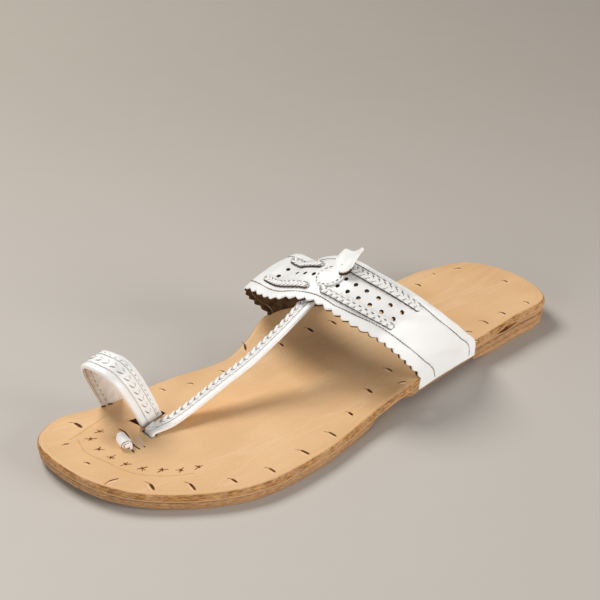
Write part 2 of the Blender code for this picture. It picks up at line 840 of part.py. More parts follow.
def ring_cuts():
    """Cutters for the ring's outer slot and for the recess of its inner leg."""
    front_outer, front_inner = ring_feet(0.0)
    back_outer, back_inner = ring_feet(1.0)
    top = 2.0 * insole_thickness
    plan = {
        "ring_slot": (
            (front_outer[0] - leg_room, front_outer[1] + leg_room),
            (front_outer[0] + ring_slot, front_outer[1] + leg_room),
            (back_outer[0] + ring_wall + leg_room, back_outer[1] - leg_room),
            (back_outer[0] - leg_room, back_outer[1] - leg_room),
        ),
        "ring_recess": (
            (front_inner[0] - ring_wall - leg_room, front_inner[1] + leg_room),
            (front_inner[0] + ring_wall, front_inner[1] + leg_room),
            (back_inner[0] + ring_wall, back_inner[1] - leg_room),
            (back_inner[0] - ring_wall - leg_room, back_inner[1] - leg_room),
        ),
    }
    tools = []
    for name, corners in plan.items():
        level = insole_top(corners[0][0], corners[0][1])
        bottom = level - insole_thickness - gap * 0.5
        low = [np.array([*corner, bottom]) for corner in corners]
        high = [np.array([*corner, level + top]) for corner in corners]
        front = np.array([[low[0], high[0]], [low[1], high[1]]])
        back = np.array([[low[3], high[3]], [low[2], high[2]]])
        tools.append(cutter(name, [front, back]))
    return tools


def build_knot():
    """The strap's end, come up through its own slit and rolled over towards the toe."""
    along, across = knot_place
    x = across * half_width(along)
    y = y_of(along)
    level = insole_top(x, y)
    pitch = knot_wall + gap
    start = knot_radius - 0.5 * knot_wall
    turns = (start - 1.1 * knot_wall) / pitch
    angle = np.linspace(0.0, 2.0 * np.pi * turns, 26)
    radius = start - pitch * angle / (2.0 * np.pi)
    centre = (start, level + gap + knot_squash * knot_radius)
    forward = centre[0] - radius * np.cos(angle)
    height = centre[1] + knot_squash * radius * np.sin(angle)
    tail_end = outsole_top(x, y) + gap
    tail = np.stack([np.zeros(4), np.linspace(tail_end, centre[1], 5)[:-1]], axis=1)
    line = np.concatenate([tail, np.stack([forward, height], axis=1)])
    direction = unit(np.gradient(line, axis=0))
    outward = np.stack([-direction[:, 1], direction[:, 0]], axis=1)
    straight = np.array([np.cos(knot_turn), np.sin(knot_turn), 0.0])
    toward = np.array([-np.sin(knot_turn), np.cos(knot_turn), 0.0])
    faces = []
    for offset in (0.5 * knot_wall, -0.5 * knot_wall):
        section = line + outward * offset
        middle = np.array([x, y, 0.0]) + section[:, :1] * toward + section[:, 1:] * (0.0, 0.0, 1.0)
        ends = [middle + straight * knot_width * side for side in (-0.5, 0.5)]
        faces.append(np.stack(ends, axis=1))
    knot = solid("toe_knot", faces, strap_look)
    half = 0.5 * knot_width + slit_spare
    walls = []
    for offset in (-0.5 * knot_wall - gap, 0.5 * knot_wall + gap):
        corners = []
        for side in (-half, half):
            spot = np.array([x, y, 0.0]) + toward * offset + straight * side
            bottom = (spot[0], spot[1], level - insole_thickness - 0.5 * gap)
            corners.append([bottom, (spot[0], spot[1], level + insole_thickness)])
        walls.append(np.array(corners))
    return cutter("knot_slit", walls)


for old in list(bpy.data.objects):
    bpy.data.objects.remove(old, do_unlink=True)

insole_look = finish_look("tan_insole_leather", (0.80, 0.55, 0.32), 0.55)
edge_look = finish_look("stacked_edge_leather", (0.36, 0.18, 0.08), 0.6)
outsole_look = finish_look("sole_leather", (0.48, 0.30, 0.17), 0.65)
strap_look = finish_look("white_strap_leather", (0.90, 0.89, 0.87), 0.45)
braid_look = finish_look("white_braid_leather", (0.86, 0.84, 0.81), 0.5)
cut_look = finish_look("cutter", (0.5, 0.5, 0.5), 0.9)

insole, wedge, outsole = build_sole()
build_instep_strap()
build_braids()
build_disc()
build_leaf()
centre_strap, centre_end, centre_mouth = build_centre_strap()
build_toe_ring()

for recess in (
    foot_recess("outer_foot_recess", outer_foot, False),
    foot_recess("inner_foot_recess", inner_foot, True),
):
    for layer in (insole, wedge, outsole):
        cut(layer, recess)
for tool in (*ring_cuts(), toe_slit(centre_end, centre_mouth), build_knot()):
    cut(insole, tool)
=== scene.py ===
import bmesh
import bpy
import numpy as np
from mathutils import Matrix


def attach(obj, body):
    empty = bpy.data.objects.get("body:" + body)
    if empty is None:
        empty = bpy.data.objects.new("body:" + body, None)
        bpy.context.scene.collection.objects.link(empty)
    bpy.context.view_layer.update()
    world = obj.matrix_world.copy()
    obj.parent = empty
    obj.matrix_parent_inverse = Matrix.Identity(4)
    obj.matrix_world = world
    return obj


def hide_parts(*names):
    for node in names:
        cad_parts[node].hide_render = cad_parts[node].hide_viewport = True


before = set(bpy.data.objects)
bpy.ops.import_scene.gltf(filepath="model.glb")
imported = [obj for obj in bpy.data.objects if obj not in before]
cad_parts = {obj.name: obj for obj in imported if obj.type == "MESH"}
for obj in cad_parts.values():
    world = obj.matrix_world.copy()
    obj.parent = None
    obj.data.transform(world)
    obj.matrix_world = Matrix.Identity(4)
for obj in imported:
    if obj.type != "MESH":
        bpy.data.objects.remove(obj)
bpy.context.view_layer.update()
print("frame loaded")

# small helpers for numbers


def ease(value, start, end):
    # smooth step: 3t^2 - 2t^3, where t runs from 0 at start to 1 at end
    t = np.clip((np.asarray(value, float) - start) / (end - start), 0.0, 1.0)
    return t * t * (3.0 - 2.0 * t)


def hump(value, start, peak, end):
    # smooth hill: a step up to the peak times a step down after it
    return ease(value, start, peak) * (1.0 - ease(value, peak, end))


def bell(value, centre, width):
    # a bell curve of height 1: exp(-(distance / width)^2)
    return np.exp(-(((np.asarray(value, float) - centre) / width) ** 2))


def lengthOf(vectors):
    # the root of the summed squares of each vector
    return np.sqrt((vectors**2).sum(axis=-1, keepdims=True))


def unit(vectors):
    # each vector divided by its length
    return vectors / np.maximum(lengthOf(vectors), 1e-12)


def throughPoints(points, where, closed=False):
    # a curve through the points: cubic pieces whose end directions weigh both chords
    where = np.asarray(where, float)
    points = np.asarray(points, float)
    if points.ndim == 2:
        points = np.repeat(points[:, None, :], len(where), axis=1)
    if closed:
        points = np.concatenate([points[-1:], points, points[:2]])
    else:
        first = 2.0 * points[:1] - points[1:2]
        last = 2.0 * points[-1:] - points[-2:-1]
        points = np.concatenate([first, points, last])
    step = np.clip(np.floor(where).astype(int), 0, len(points) - 4)
    t = (where - step)[:, None]
    column = np.arange(len(where))
    before, start, end, after = (points[step + k, column] for k in range(4))
    chord = lengthOf(end - start)
    back = lengthOf(start - before)
    ahead = lengthOf(after - end)
    leave = ((start - before) * chord / back + (end - start) * back / chord) / (back + chord)
    arrive = ((end - start) * ahead / chord + (after - end) * chord / ahead) / (ahead + chord)
    return (
        (2.0 * t**3 - 3.0 * t**2 + 1.0) * start
        + (t**3 - 2.0 * t**2 + t) * chord * leave
        + (3.0 * t**2 - 2.0 * t**3) * end
        + (t**3 - t**2) * chord * arrive
    )


def runAlong(points):
    # distance from the first point to each point, along the line
    steps = lengthOf(np.diff(points, axis=0))[:, 0]
    return np.concatenate([[0.0], np.cumsum(steps)])


def atDistance(points, wanted):
    # points of the line at the wanted distances from its start
    run = runAlong(points)
    return np.stack([np.interp(wanted, run, points[:, k]) for k in range(points.shape[1])], axis=-1)


def evenly(points, count):
    # the line again, as points at equal distances
    return atDistance(points, np.linspace(0.0, runAlong(points)[-1], count))


def waves(x, y, seed):
    # slow unevenness between -1 and 1: a sum of sines that run in different directions
    total = np.zeros_like(np.asarray(x, float))
    for k in range(5):
        angle = seed + 2.4 * k
        pitch = 0.034 / (1.0 + 0.55 * k)
        across = x * np.cos(angle) + y * np.sin(angle)
        total = total + np.sin(2.0 * np.pi * across / pitch + 1.7 * k * seed) / (1.0 + 0.8 * k)
    return total / 2.6


# small helpers for meshes


def quadGrid(rows, columns, closed=False):
    # four corners of each square of a grid, and of the last column to the first if closed
    number = np.arange(rows * columns).reshape(rows, columns)
    if closed:
        number = np.concatenate([number, number[:, :1]], axis=1)
    quads = [number[:-1, :-1], number[:-1, 1:], number[1:, 1:], number[1:, :-1]]
    return np.stack(quads, axis=-1).reshape(-1, 4)


def makePiece(name, points, faces, looks, lookOf=None, values=None, angle=50.0):
    # one mesh object from arrays, doubles merged, faces pointing out
    mesh = bpy.data.meshes.new(name)
    mesh.from_pydata(np.asarray(points).reshape(-1, 3).tolist(), [], [list(face) for face in faces])
    for look in looks:
        mesh.materials.append(look)
    if lookOf is not None:
        mesh.polygons.foreach_set("material_index", np.asarray(lookOf, np.int32))
    for title, numbers in (values or {}).items():
        layer = mesh.attributes.new(title, "FLOAT", "POINT")
        layer.data.foreach_set("value", np.asarray(numbers, np.float32).ravel())
    work = bmesh.new()
    work.from_mesh(mesh)
    bmesh.ops.remove_doubles(work, verts=work.verts, dist=2e-6)
    bmesh.ops.dissolve_degenerate(work, edges=work.edges, dist=1e-7)
    bmesh.ops.recalc_face_normals(work, faces=work.faces)
    work.to_mesh(mesh)
    work.free()
    mesh.shade_smooth()
    mesh.set_sharp_from_angle(angle=np.radians(angle))
    piece = bpy.data.objects.new(name, mesh)
    bpy.context.collection.objects.link(piece)
    return piece


def settle(piece, slot, *nodes):
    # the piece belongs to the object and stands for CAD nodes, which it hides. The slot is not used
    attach(piece, "root")
    if nodes:
        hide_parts(*nodes)


def closedStrip(loops):
    # a closed body from one closed loop of points per station: a grid with both ends filled
    stations, around = loops.shape[:2]
    faces = quadGrid(stations, around, closed=True).tolist()
    faces.append(list(range(around)))
    faces.append(list(range((stations - 1) * around, stations * around)))
    return loops.reshape(-1, 3), faces


def sweptLoop(name, loops, looks, lookOf=None):
    # the same for a wide flat section, with each end filled by squares between its faces
    stations, around = loops.shape[:2]
    faces = quadGrid(stations, around, closed=True).tolist()
    half = around // 2
    for start in (0, (stations - 1) * around):
        number = start + np.arange(around)
        for k in range(half - 1):
            faces.append([number[k], number[k + 1], number[-2 - k], number[-1 - k]])
    if lookOf is not None:
        lookOf = np.concatenate([np.tile(lookOf, stations - 1), np.zeros(2 * (half - 1), int)])
    return makePiece(name, loops, faces, looks, lookOf)


def spindleMesh(centre, forward, side, up, half, rows=7, sides=8, blunt=0.5):
    # many small spindles: an ellipse across, whose size falls to nothing at both ends as
    # (1 - t^2)^blunt. The third result is 0 on a spindle's back and 1 at its foot
    centre = np.asarray(centre, float)
    t = np.sin(0.5 * np.pi * np.linspace(-1.0, 1.0, rows))
    angle = np.arange(sides) * 2.0 * np.pi / sides
    size = (1.0 - t**2).clip(0.0) ** blunt
    half = np.broadcast_to(np.asarray(half, float), centre.shape)[:, :, None, None]
    ahead = half[:, 0] * t[None, :, None]
    aside = half[:, 1] * size[None, :, None] * np.cos(angle)[None, None, :]
    above = half[:, 2] * size[None, :, None] * np.sin(angle)[None, None, :]
    points = (
        centre[:, None, None]
        + forward[:, None, None] * ahead[..., None]
        + side[:, None, None] * aside[..., None]
        + up[:, None, None] * above[..., None]
    )
    one = quadGrid(rows, sides, closed=True)
    faces = (one[None] + (np.arange(len(centre)) * rows * sides)[:, None, None]).reshape(-1, 4)
    crease = np.broadcast_to((1.0 - np.sin(angle)) * 0.5, points.shape[:3])
    return points.reshape(-1, 3), faces, crease.reshape(-1)


def tubeMesh(line, side, up, halfWide, halfHigh, sides=8):
    # a thin cord along a line: an ellipse carried along it, closing at both ends
    angle = np.arange(sides) * 2.0 * np.pi / sides
    size = np.ones(len(line))
    size[[0, -1]] = 0.05
    ring = side[:, None] * np.cos(angle)[None, :, None] * np.asarray(halfWide)
    ring = ring + up[:, None] * np.sin(angle)[None, :, None] * np.asarray(halfHigh)
    return closedStrip(line[:, None] + ring * size[:, None, None])


def joined(parts):
    # several (points, faces) pairs as one pair
    points = []
    faces = []
    start = 0
    for somePoints, someFaces in parts:
        points.append(somePoints)
        faces += [[start + k for k in face] for face in np.asarray(someFaces, object).tolist()]
        start += len(somePoints)
    return np.concatenate(points), faces


# leather, thread and floor finishes


def feed(tree, socket, value):
    # links a socket to another, or sets it to a number or colour
    if isinstance(value, bpy.types.NodeSocket):
        tree.links.new(value, socket)
    elif isinstance(value, tuple):
        socket.default_value = (*value, 1.0)
    else:
        socket.default_value = value


def addNode(tree, kind, **inputs):
    # one shader node with its inputs fed
    node = tree.nodes.new("ShaderNode" + kind)
    for title, value in inputs.items():
        feed(tree, node.inputs[title], value)
    return node


def newGroup(name, inputs, outputs):
    # an empty node group with numbers in and numbers out
    group = bpy.data.node_groups.new(name, "ShaderNodeTree")
    for title, value in inputs.items():
        socket = group.interface.new_socket(title, in_out="INPUT", socket_type="NodeSocketFloat")
        socket.default_value = value
    for title in outputs:
        group.interface.new_socket(title, in_out="OUTPUT", socket_type="NodeSocketFloat")
    return group, group.nodes.new("NodeGroupInput"), group.nodes.new("NodeGroupOutput")


def math(tree, operation, *values):
    # one step of arithmetic on numbers or sockets
    node = tree.nodes.new("ShaderNodeMath")
    node.operation = operation
    for socket, value in zip(node.inputs, values):
        feed(tree, socket, value)
    return node.outputs[0]


def remap(tree, value, low, high, start=0.0, end=1.0):
    # a smooth step from start to end while the value goes from low to high
    node = addNode(tree, "MapRange")
    node.interpolation_type = "SMOOTHSTEP"
    for socket, number in zip(node.inputs[:5], (value, low, high, start, end)):
        feed(tree, socket, number)
    return node.outputs[0]


def mixColour(tree, share, first, second):
    # the first colour, changed into the second by the share
    node = tree.nodes.new("ShaderNodeMix")
    node.data_type = "RGBA"
    for number, value in ((0, share), (6, first), (7, second)):
        feed(tree, node.inputs[number], value)
    return node.outputs[2]


def objectPlace(tree):
    # where a point lies on the object
    return tree.nodes.new("ShaderNodeTexCoord").outputs["Object"]


def stretchedNoise(tree, scale, detail, **spread):
    # noise on coordinates times the spread, so it is drawn out where a number is below 1
    factors = addNode(tree, "CombineXYZ", **{"X": 1.0, "Y": 1.0, "Z": 1.0, **spread})
    squeezed = addNode(tree, "VectorMath")
    squeezed.operation = "MULTIPLY"
    tree.links.new(objectPlace(tree), squeezed.inputs[0])
    tree.links.new(factors.outputs[0], squeezed.inputs[1])
    return addNode(tree, "TexNoise", Vector=squeezed.outputs[0], Scale=scale, Detail=detail)


def grainGroup():
    # leather grain: small cells between creases, with finer noise over them
    group, start, end = newGroup("leatherGrain", {"Cells": 900.0, "Noise": 2600.0}, ["Height"])
    spot = objectPlace(group)
    cells = addNode(group, "TexVoronoi", Vector=spot, Scale=start.outputs["Cells"])
    cells.feature = "DISTANCE_TO_EDGE"
    noise = addNode(group, "TexNoise", Vector=spot, Scale=start.outputs["Noise"], Detail=3.0)
    crease = remap(group, cells.outputs["Distance"], 0.0, 0.22)
    fine = math(group, "MULTIPLY", noise.outputs[0], 0.5)
    group.links.new(math(group, "MULTIPLY_ADD", crease, 0.6, fine), end.inputs[0])
    return group


def toneGroup():
    # slow patches and streaks along the sole: two noises, one of them stretched
    inputs = {"Patches": 22.0, "Streaks": 60.0, "Stretch": 0.12}
    group, start, end = newGroup("handledTone", inputs, ["Patch", "Streak"])
    patches = addNode(
        group, "TexNoise", Vector=objectPlace(group), Scale=start.outputs["Patches"], Detail=4.0
    )
    streaks = stretchedNoise(group, start.outputs["Streaks"], 5.0, Y=start.outputs["Stretch"])
    group.links.new(remap(group, patches.outputs[0], 0.3, 0.7), end.inputs[0])
    group.links.new(remap(group, streaks.outputs[0], 0.35, 0.72), end.inputs[1])
    return group


def fibreGroup():
    # the cut edge of leather: layers that lie flat, so the noise is squeezed upwards
    inputs = {"Fibres": 420.0, "Layers": 6.0}
    group, start, end = newGroup("cutFibres", inputs, ["Fibre", "Spots"])
    fibres = stretchedNoise(group, start.outputs["Fibres"], 5.0, Z=start.outputs["Layers"])
    spots = addNode(group, "TexNoise", Vector=objectPlace(group), Scale=150.0, Detail=4.0)
    group.links.new(remap(group, fibres.outputs[0], 0.35, 0.68), end.inputs[0])
    group.links.new(remap(group, spots.outputs[0], 0.42, 0.66), end.inputs[1])
    return group


def scratchGroup():
    # hair lines: thin bands where a slow wave of stretched noise passes its middle value
    inputs = {"Scale": 34.0, "Stretch": 0.16, "Width": 0.012}
    group, start, end = newGroup("fineScratches", inputs, ["Line"])
    noise = stretchedNoise(group, start.outputs["Scale"], 3.0, Y=start.outputs["Stretch"])
    off = math(group, "ABSOLUTE", math(group, "SUBTRACT", noise.outputs[0], 0.5))
    share = math(group, "DIVIDE", off, start.outputs["Width"])
    group.links.new(remap(group, share, 1.0, 0.0), end.inputs[0])
    return group


groups = {
    "grain": grainGroup(),
    "tone": toneGroup(),
    "fibre": fibreGroup(),
    "scratch": scratchGroup(),
}


def place(tree, title, **values):
    # one of the groups in a material, with its own values
    node = tree.nodes.new("ShaderNodeGroup")
    node.node_tree = groups[title]
    for name, value in values.items():
        node.inputs[name].default_value = value
    return node


def newLook(name, roughness, coat=0.0):
    # a material with its node tree and its shader
    look = bpy.data.materials.new(name)
    look.use_nodes = True
    shader = look.node_tree.nodes["Principled BSDF"]
    shader.inputs["Roughness"].default_value = roughness
    shader.inputs["Coat Weight"].default_value = coat
    shader.inputs["Coat Roughness"].default_value = 0.35
    return look, look.node_tree, shader


def addBump(tree, shader, height, strength, distance):
    # a height turned into the shader's normal
    bump = addNode(tree, "Bump", Strength=strength, Distance=distance, Height=height)
    tree.links.new(bump.outputs[0], shader.inputs["Normal"])


def readValue(tree, title):
    # a number that the piece carries at its points
    node = tree.nodes.new("ShaderNodeAttribute")
    node.attribute_name = title
    return node.outputs["Fac"]


tones = {
    "tan": (0.865, 0.55, 0.285),
    "tanDeep": (0.71, 0.39, 0.165),
    "tanPale": (0.89, 0.635, 0.385),
    "rim": (0.60, 0.30, 0.085),
    "rimDark": (0.22, 0.09, 0.025),
    "rimPale": (0.66, 0.42, 0.235),
    "edge": (0.42, 0.215, 0.095),
    "edgeDark": (0.22, 0.10, 0.040),
    "layer": (0.52, 0.295, 0.135),
    "layerDeep": (0.29, 0.14, 0.058),
    "white": (0.90, 0.895, 0.88),
    "whiteWorn": (0.80, 0.775, 0.74),
    "crease": (0.22, 0.17, 0.13),
    # the lining's dark brown, darkened to how it looks in shade: partly its own colour, partly
    # painted shade
    "liningAndShade": (0.045, 0.021, 0.010),
    "liningPale": (0.115, 0.062, 0.030),
    "olive": (0.36, 0.27, 0.15),
    # the toe ring's inner face: grey as painted shade on the white band
    "ringInnerShade": (0.70, 0.63, 0.59),
    "thread": (0.115, 0.088, 0.066),
    "threadPale": (0.27, 0.215, 0.165),
    "shadow": (0.050, 0.036, 0.026),
    "shadowPale": (0.13, 0.105, 0.085),
    "mark": (0.050, 0.018, 0.006),
    "star": (0.30, 0.105, 0.028),
    "scribe": (0.56, 0.31, 0.13),
    "flap": (0.64, 0.44, 0.29),
    "flapPale": (0.76, 0.53, 0.34),
    "groove": (0.36, 0.33, 0.30),
    "groovePale": (0.52, 0.49, 0.46),
    "floor": (0.60, 0.555, 0.505),
    # painted shade on the floor, away from the camera
    "floorPaintedShade": (0.43, 0.385, 0.335),
}


def soleLook(name, face, deep, pale, rim, rimDark, line):
    # the face is mottled leather with faint streaks and hair lines. inset is the distance
    # from the edge in mm: the dressed edge lies below 1, a pale pressed line at 2.2. depth
    # runs down the side, where a pale line closes the layer and painted shade darkens its foot
    look, tree, shader = newLook(name, 0.55, 0.04)
    shader.inputs["Specular IOR Level"].default_value = 0.3
    tone = place(tree, "tone", Patches=30.0, Streaks=70.0, Stretch=0.35)
    fine = place(tree, "tone", Patches=120.0, Streaks=330.0, Stretch=0.16)
    fibre = place(tree, "fibre")
    grain = place(tree, "grain", Cells=700.0, Noise=2100.0)
    scratch = place(tree, "scratch")
    colour = face
    for mask, amount, other in (
        (tone.outputs["Patch"], 0.55, deep),
        (tone.outputs["Streak"], 0.22, pale),
        (fine.outputs["Streak"], 0.16, deep),
        (fine.outputs["Patch"], 0.16, pale),
        (scratch.outputs[0], 0.32, pale),
    ):
        colour = mixColour(tree, math(tree, "MULTIPLY", mask, amount), colour, other)
    inset = readValue(tree, "inset")
    near = math(tree, "MULTIPLY", remap(tree, inset, 5.0, 1.2), 0.30)
    colour = mixColour(tree, near, colour, deep)
    pressed = math(tree, "MULTIPLY", remap(tree, inset, 1.6, 2.1), remap(tree, inset, 2.9, 2.3))
    colour = mixColour(tree, math(tree, "MULTIPLY", pressed, 0.30), colour, pale)
    edge = mixColour(tree, fibre.outputs["Fibre"], rimDark, rim)
    edge = mixColour(tree, math(tree, "MULTIPLY", fibre.outputs["Spots"], 0.35), edge, line)
    depth = readValue(tree, "depth")
    closing = math(tree, "MULTIPLY", remap(tree, depth, 0.74, 0.84), 0.85)
    edge = mixColour(tree, closing, edge, line)
    # painted shade: the foot of each side darkens, as a contact shadow
    ground = math(tree, "MULTIPLY", remap(tree, depth, 0.88, 0.97), 0.8)
    edge = mixColour(tree, ground, edge, rimDark)
    side = remap(tree, inset, 1.2, 0.55)
    colour = mixColour(tree, side, colour, edge)
    tree.links.new(colour, shader.inputs["Base Color"])
    uneven = remap(tree, tone.outputs["Streak"], 0.0, 1.0, 0.46, 0.6)
    tree.links.new(uneven, shader.inputs["Roughness"])
    cut = math(tree, "MULTIPLY", fibre.outputs["Fibre"], side)
    streak = math(tree, "MULTIPLY", fine.outputs["Streak"], 0.5)
    height = math(tree, "ADD", math(tree, "ADD", grain.outputs[0], cut), streak)
    addBump(tree, shader, height, 0.30, 0.0003)
    return look


def whiteLook(name, base, worn, roughness=0.42):
    # white finished leather: fine grain, faintly uneven, with painted shade in grey-brown
    # where the crease value marks a strand's foot
    look, tree, shader = newLook(name, roughness, 0.12)
    tone = place(tree, "tone", Patches=55.0, Streaks=140.0, Stretch=1.0)
    grain = place(tree, "grain", Cells=1250.0, Noise=3400.0)
    share = math(tree, "MULTIPLY", tone.outputs["Patch"], 0.22)
    colour = mixColour(tree, share, base, worn)
    # painted shade: the crease value, 1 at each strand's foot, darkens the white there
    crease = readValue(tree, "crease")
    colour = mixColour(tree, remap(tree, crease, 0.45, 0.85), colour, tones["crease"])
    tree.links.new(colour, shader.inputs["Base Color"])
    uneven = remap(tree, tone.outputs["Streak"], 0.0, 1.0, 0.36, 0.5)
    tree.links.new(uneven, shader.inputs["Roughness"])
    addBump(tree, shader, grain.outputs[0], 0.16, 0.00018)
    return look


def darkLook(name, base, other, roughness=0.8, gleam=0.08):
    # lining, thread, pressed marks and painted shadow: one tone that turns to another in patches
    look, tree, shader = newLook(name, roughness)
    shader.inputs["Specular IOR Level"].default_value = gleam
    tone = place(tree, "tone", Patches=260.0, Streaks=300.0, Stretch=1.0)
    grain = place(tree, "grain", Cells=1100.0, Noise=2800.0)
    tree.links.new(mixColour(tree, tone.outputs["Patch"], base, other), shader.inputs["Base Color"])
    addBump(tree, shader, grain.outputs[0], 0.3, 0.0002)
    return look


looks = {
    "insole": soleLook(
        "tanInsole", tones["tan"], tones["tanDeep"], tones["tanPale"], tones["rim"],
        tones["rimDark"], tones["rimPale"],
    ),
    "outsole": soleLook(
        "soleLeather", tones["edge"], tones["edgeDark"], tones["rimPale"], tones["layer"],
        tones["layerDeep"], tones["layer"],
    ),
    "heel": soleLook(
        "heelLeather", tones["edge"], tones["edgeDark"], tones["rimPale"], tones["layer"],
        tones["edge"], tones["layer"],
    ),
    "white": whiteLook("whiteStrap", tones["white"], tones["whiteWorn"]),
    "plait": whiteLook("whitePlait", tones["white"], tones["whiteWorn"], 0.46),
    "liningAndShade": darkLook("brownLiningAndShade", tones["liningAndShade"], tones["liningPale"]),
    "ringInnerShade": darkLook("greyInnerShade", tones["ringInnerShade"], tones["whiteWorn"], 0.55, 0.4),
    "threadBrown": darkLook("brownLine", tones["crease"], tones["star"]),
    "flap": darkLook("buffFlap", tones["flap"], tones["flapPale"], 0.6, 0.3),
    "liningSeam": darkLook("liningSeamThread", tones["olive"], tones["liningPale"]),
    "thread": darkLook("greyThread", tones["thread"], tones["threadPale"]),
    "groove": darkLook("greyGroove", tones["groove"], tones["groovePale"]),
    # painted shadow: the walls of the punched holes and the lines under the plaits
    "shadow": darkLook("paintedShadowDark", tones["shadow"], tones["shadowPale"]),
    "mark": darkLook("pressedMark", tones["mark"], tones["rimDark"]),
    "star": darkLook("starPunch", tones["star"], tones["rimDark"]),
    "scribe": darkLook("scribedLine", tones["scribe"], tones["tanDeep"]),
    "lip": darkLook("slitLip", tones["tan"], tones["tanPale"], 0.55),
}


def addPiece(name, mesh, look, slot, *nodes):
    # a piece of one finish, from a (points, faces) pair
    settle(makePiece(name, *mesh, [looks[look]]), slot, *nodes)


print("finishes made")

# the sole's shape

sole = {
    "length": 0.2624,
    "ballWidth": 0.0905,
    "heelWidth": 0.0640,
    "insole": 0.0038,
    "outsole": 0.0035,
    "wedge": 0.0024,
    "wedgeEdge": 0.0006,
    "lift": 0.0028,
    "toeSpring": 0.0025,
    "archLift": 0.0021,
    "waistCurl": 0.0078,
    "outsoleInset": 0.0004,
    "waistInset": 0.0050,
    "waist": (0.41, 0.46, 0.54),
    "wedgeInset": 0.0006,
    "liftInset": 0.0010,
    "gap": 0.0003,
    "heelCentre": 0.1227,
    "liftFlat": 0.172,
    "liftEnd": 0.245,
    "liftTip": 0.0007,
    "heelFlat": 0.250,
    "wedgeFull": 0.13,
    "wedgeEnd": 0.330,
    "spreadEnd": 0.420,
    "ball": (0.590, 0.870),
    "curl": (0.330, 0.487, 0.605),
    "toeRow": 13,
    # share of the length, share of the half width: up the inner side, down the outer side
    "outline": [
        (0.000, -0.08), (0.031, 0.70), (0.127, 1.01), (0.268, 0.99), (0.351, 1.01),
        (0.420, 1.05), (0.485, 1.01), (0.553, 0.86), (0.605, 0.79), (0.708, 0.86),
        (0.842, 0.88), (0.940, 0.94), (0.986, 0.76), (1.000, 0.13), (0.968, -0.40),
        (0.894, -0.82), (0.794, -1.12), (0.665, -1.13), (0.513, -0.99), (0.395, -1.03),
        (0.257, -1.05), (0.128, -0.97), (0.029, -0.85),
    ],
    "pairs": 300,
}


def alongOf(y):
    # share of the sole's length, from the heel's tip
    return y / sole["length"] + sole["heelCentre"]


def yOf(along):
    # the reverse of alongOf
    return (along - sole["heelCentre"]) * sole["length"]


def halfWidth(along):
    # half the heel's width, growing by a smooth step to half the ball's
    growth = sole["ballWidth"] - sole["heelWidth"]
    return 0.5 * (sole["heelWidth"] + growth * ease(along, 0.2, 0.6))


def outsoleUnder(x, y):
    # flat on the heel lift, arched at the waist, flat at the ball, rising at the toe; the
    # inner side of the waist curls up with the square of the distance from the middle
    along = alongOf(y)
    ballStart, ballEnd = sole["ball"]
    heel = (sole["lift"] + sole["gap"]) * (1.0 - ease(along, sole["heelFlat"], ballStart))
    arch = sole["archLift"] * hump(along, sole["heelFlat"], 0.4, ballStart)
    toe = sole["toeSpring"] * np.clip((along - ballEnd) / (1.0 - ballEnd), 0.0, 1.0) ** 2
    side = np.clip(x / halfWidth(along), 0.0, 1.0) ** 2
    return heel + arch + toe + sole["waistCurl"] * hump(along, *sole["curl"]) * side


def outsoleTop(x, y):
    # the underside plus one thickness
    return outsoleUnder(x, y) + sole["outsole"]


def wedgeHeight(along):
    # full under the heel, falling by a smooth step to its thin end
    fall = 1.0 - ease(along, sole["wedgeFull"], sole["wedgeEnd"])
    return sole["wedgeEdge"] + (sole["wedge"] - sole["wedgeEdge"]) * fall


def wedgeUnder(x, y):
    # one gap above the outsole
    return outsoleTop(x, y) + sole["gap"]


def wedgeTop(x, y):
    # the wedge's underside plus its height there
    return wedgeUnder(x, y) + wedgeHeight(alongOf(y))


def insoleUnder(x, y):
    # on the wedge, and down to the outsole by a smooth step in front of it
    along = alongOf(y)
    onWedge = 1.0 - ease(along, sole["wedgeEnd"], sole["spreadEnd"])
    spread = (wedgeHeight(along) + sole["gap"]) * onWedge
    return outsoleTop(x, y) + sole["gap"] + spread


def insoleTop(x, y):
    # the underside plus one thickness
    return insoleUnder(x, y) + sole["insole"]


def insoleFace(x, y):
    # the trodden face: the smooth one with slow waves of a tenth of a millimetre
    return insoleTop(x, y) + 0.00012 * waves(x, y, 0.8)


def soleSide(inner):
    # fine points of the inner or outer side, from the heel's tip to the toe's
    rows = sole["outline"]
    along, across = np.array(rows).T
    corners = np.stack([across * halfWidth(along), yOf(along)], axis=1)
    last = sole["toeRow"] if inner else sole["toeRow"] - len(rows)
    where = np.linspace(0.0, last, 1400) % len(rows)
    return throughPoints(corners, where, closed=True)


soleSides = {True: soleSide(True), False: soleSide(False)}


def sideX(y, inner):
    # the sole's inner or outer side at a place along it
    line = soleSides[inner]
    keep = (alongOf(line[:, 1]) > 0.1) & (alongOf(line[:, 1]) < 0.9)
    return np.interp(y, line[keep, 1], line[keep, 0])


def edgeLoop(end):
    # the outline as pairs of points on both sides, as one loop, with the point of the
    # sole's middle line that belongs to each pair
    count = sole["pairs"]
    sides = []
    for inner in (True, False):
        line = soleSides[inner]
        if end < 1.0:
            line = line[alongOf(line[:, 1]) < end]
            line = np.concatenate([line, [(sideX(yOf(end), inner), yOf(end))]])
        sides.append(evenly(line, count))
    if end < 1.0:
        middle = 0.5 * (sides[0][-1] + sides[1][-1])
        share = np.linspace(0.0, 1.0, 40)[1:, None]
        sides = [np.concatenate([side, side[-1] + (middle - side[-1]) * share]) for side in sides]
    inner, outer = sides
    middle = 0.5 * (inner + outer)
    low = middle[0, 1] + 0.4 * sole["heelWidth"]
    high = middle[-1, 1] - (0.42 * sole["ballWidth"] if end == 1.0 else 0.012)
    y = np.clip(middle[:, 1], low, high)
    order = np.argsort(middle[:, 1])
    x = np.interp(y, middle[order, 1], middle[order, 0])
    spine = np.stack([x, y], axis=1)
    edge = np.concatenate([inner, outer[-2:0:-1]])
    return edge, np.concatenate([spine, spine[-2:0:-1]])


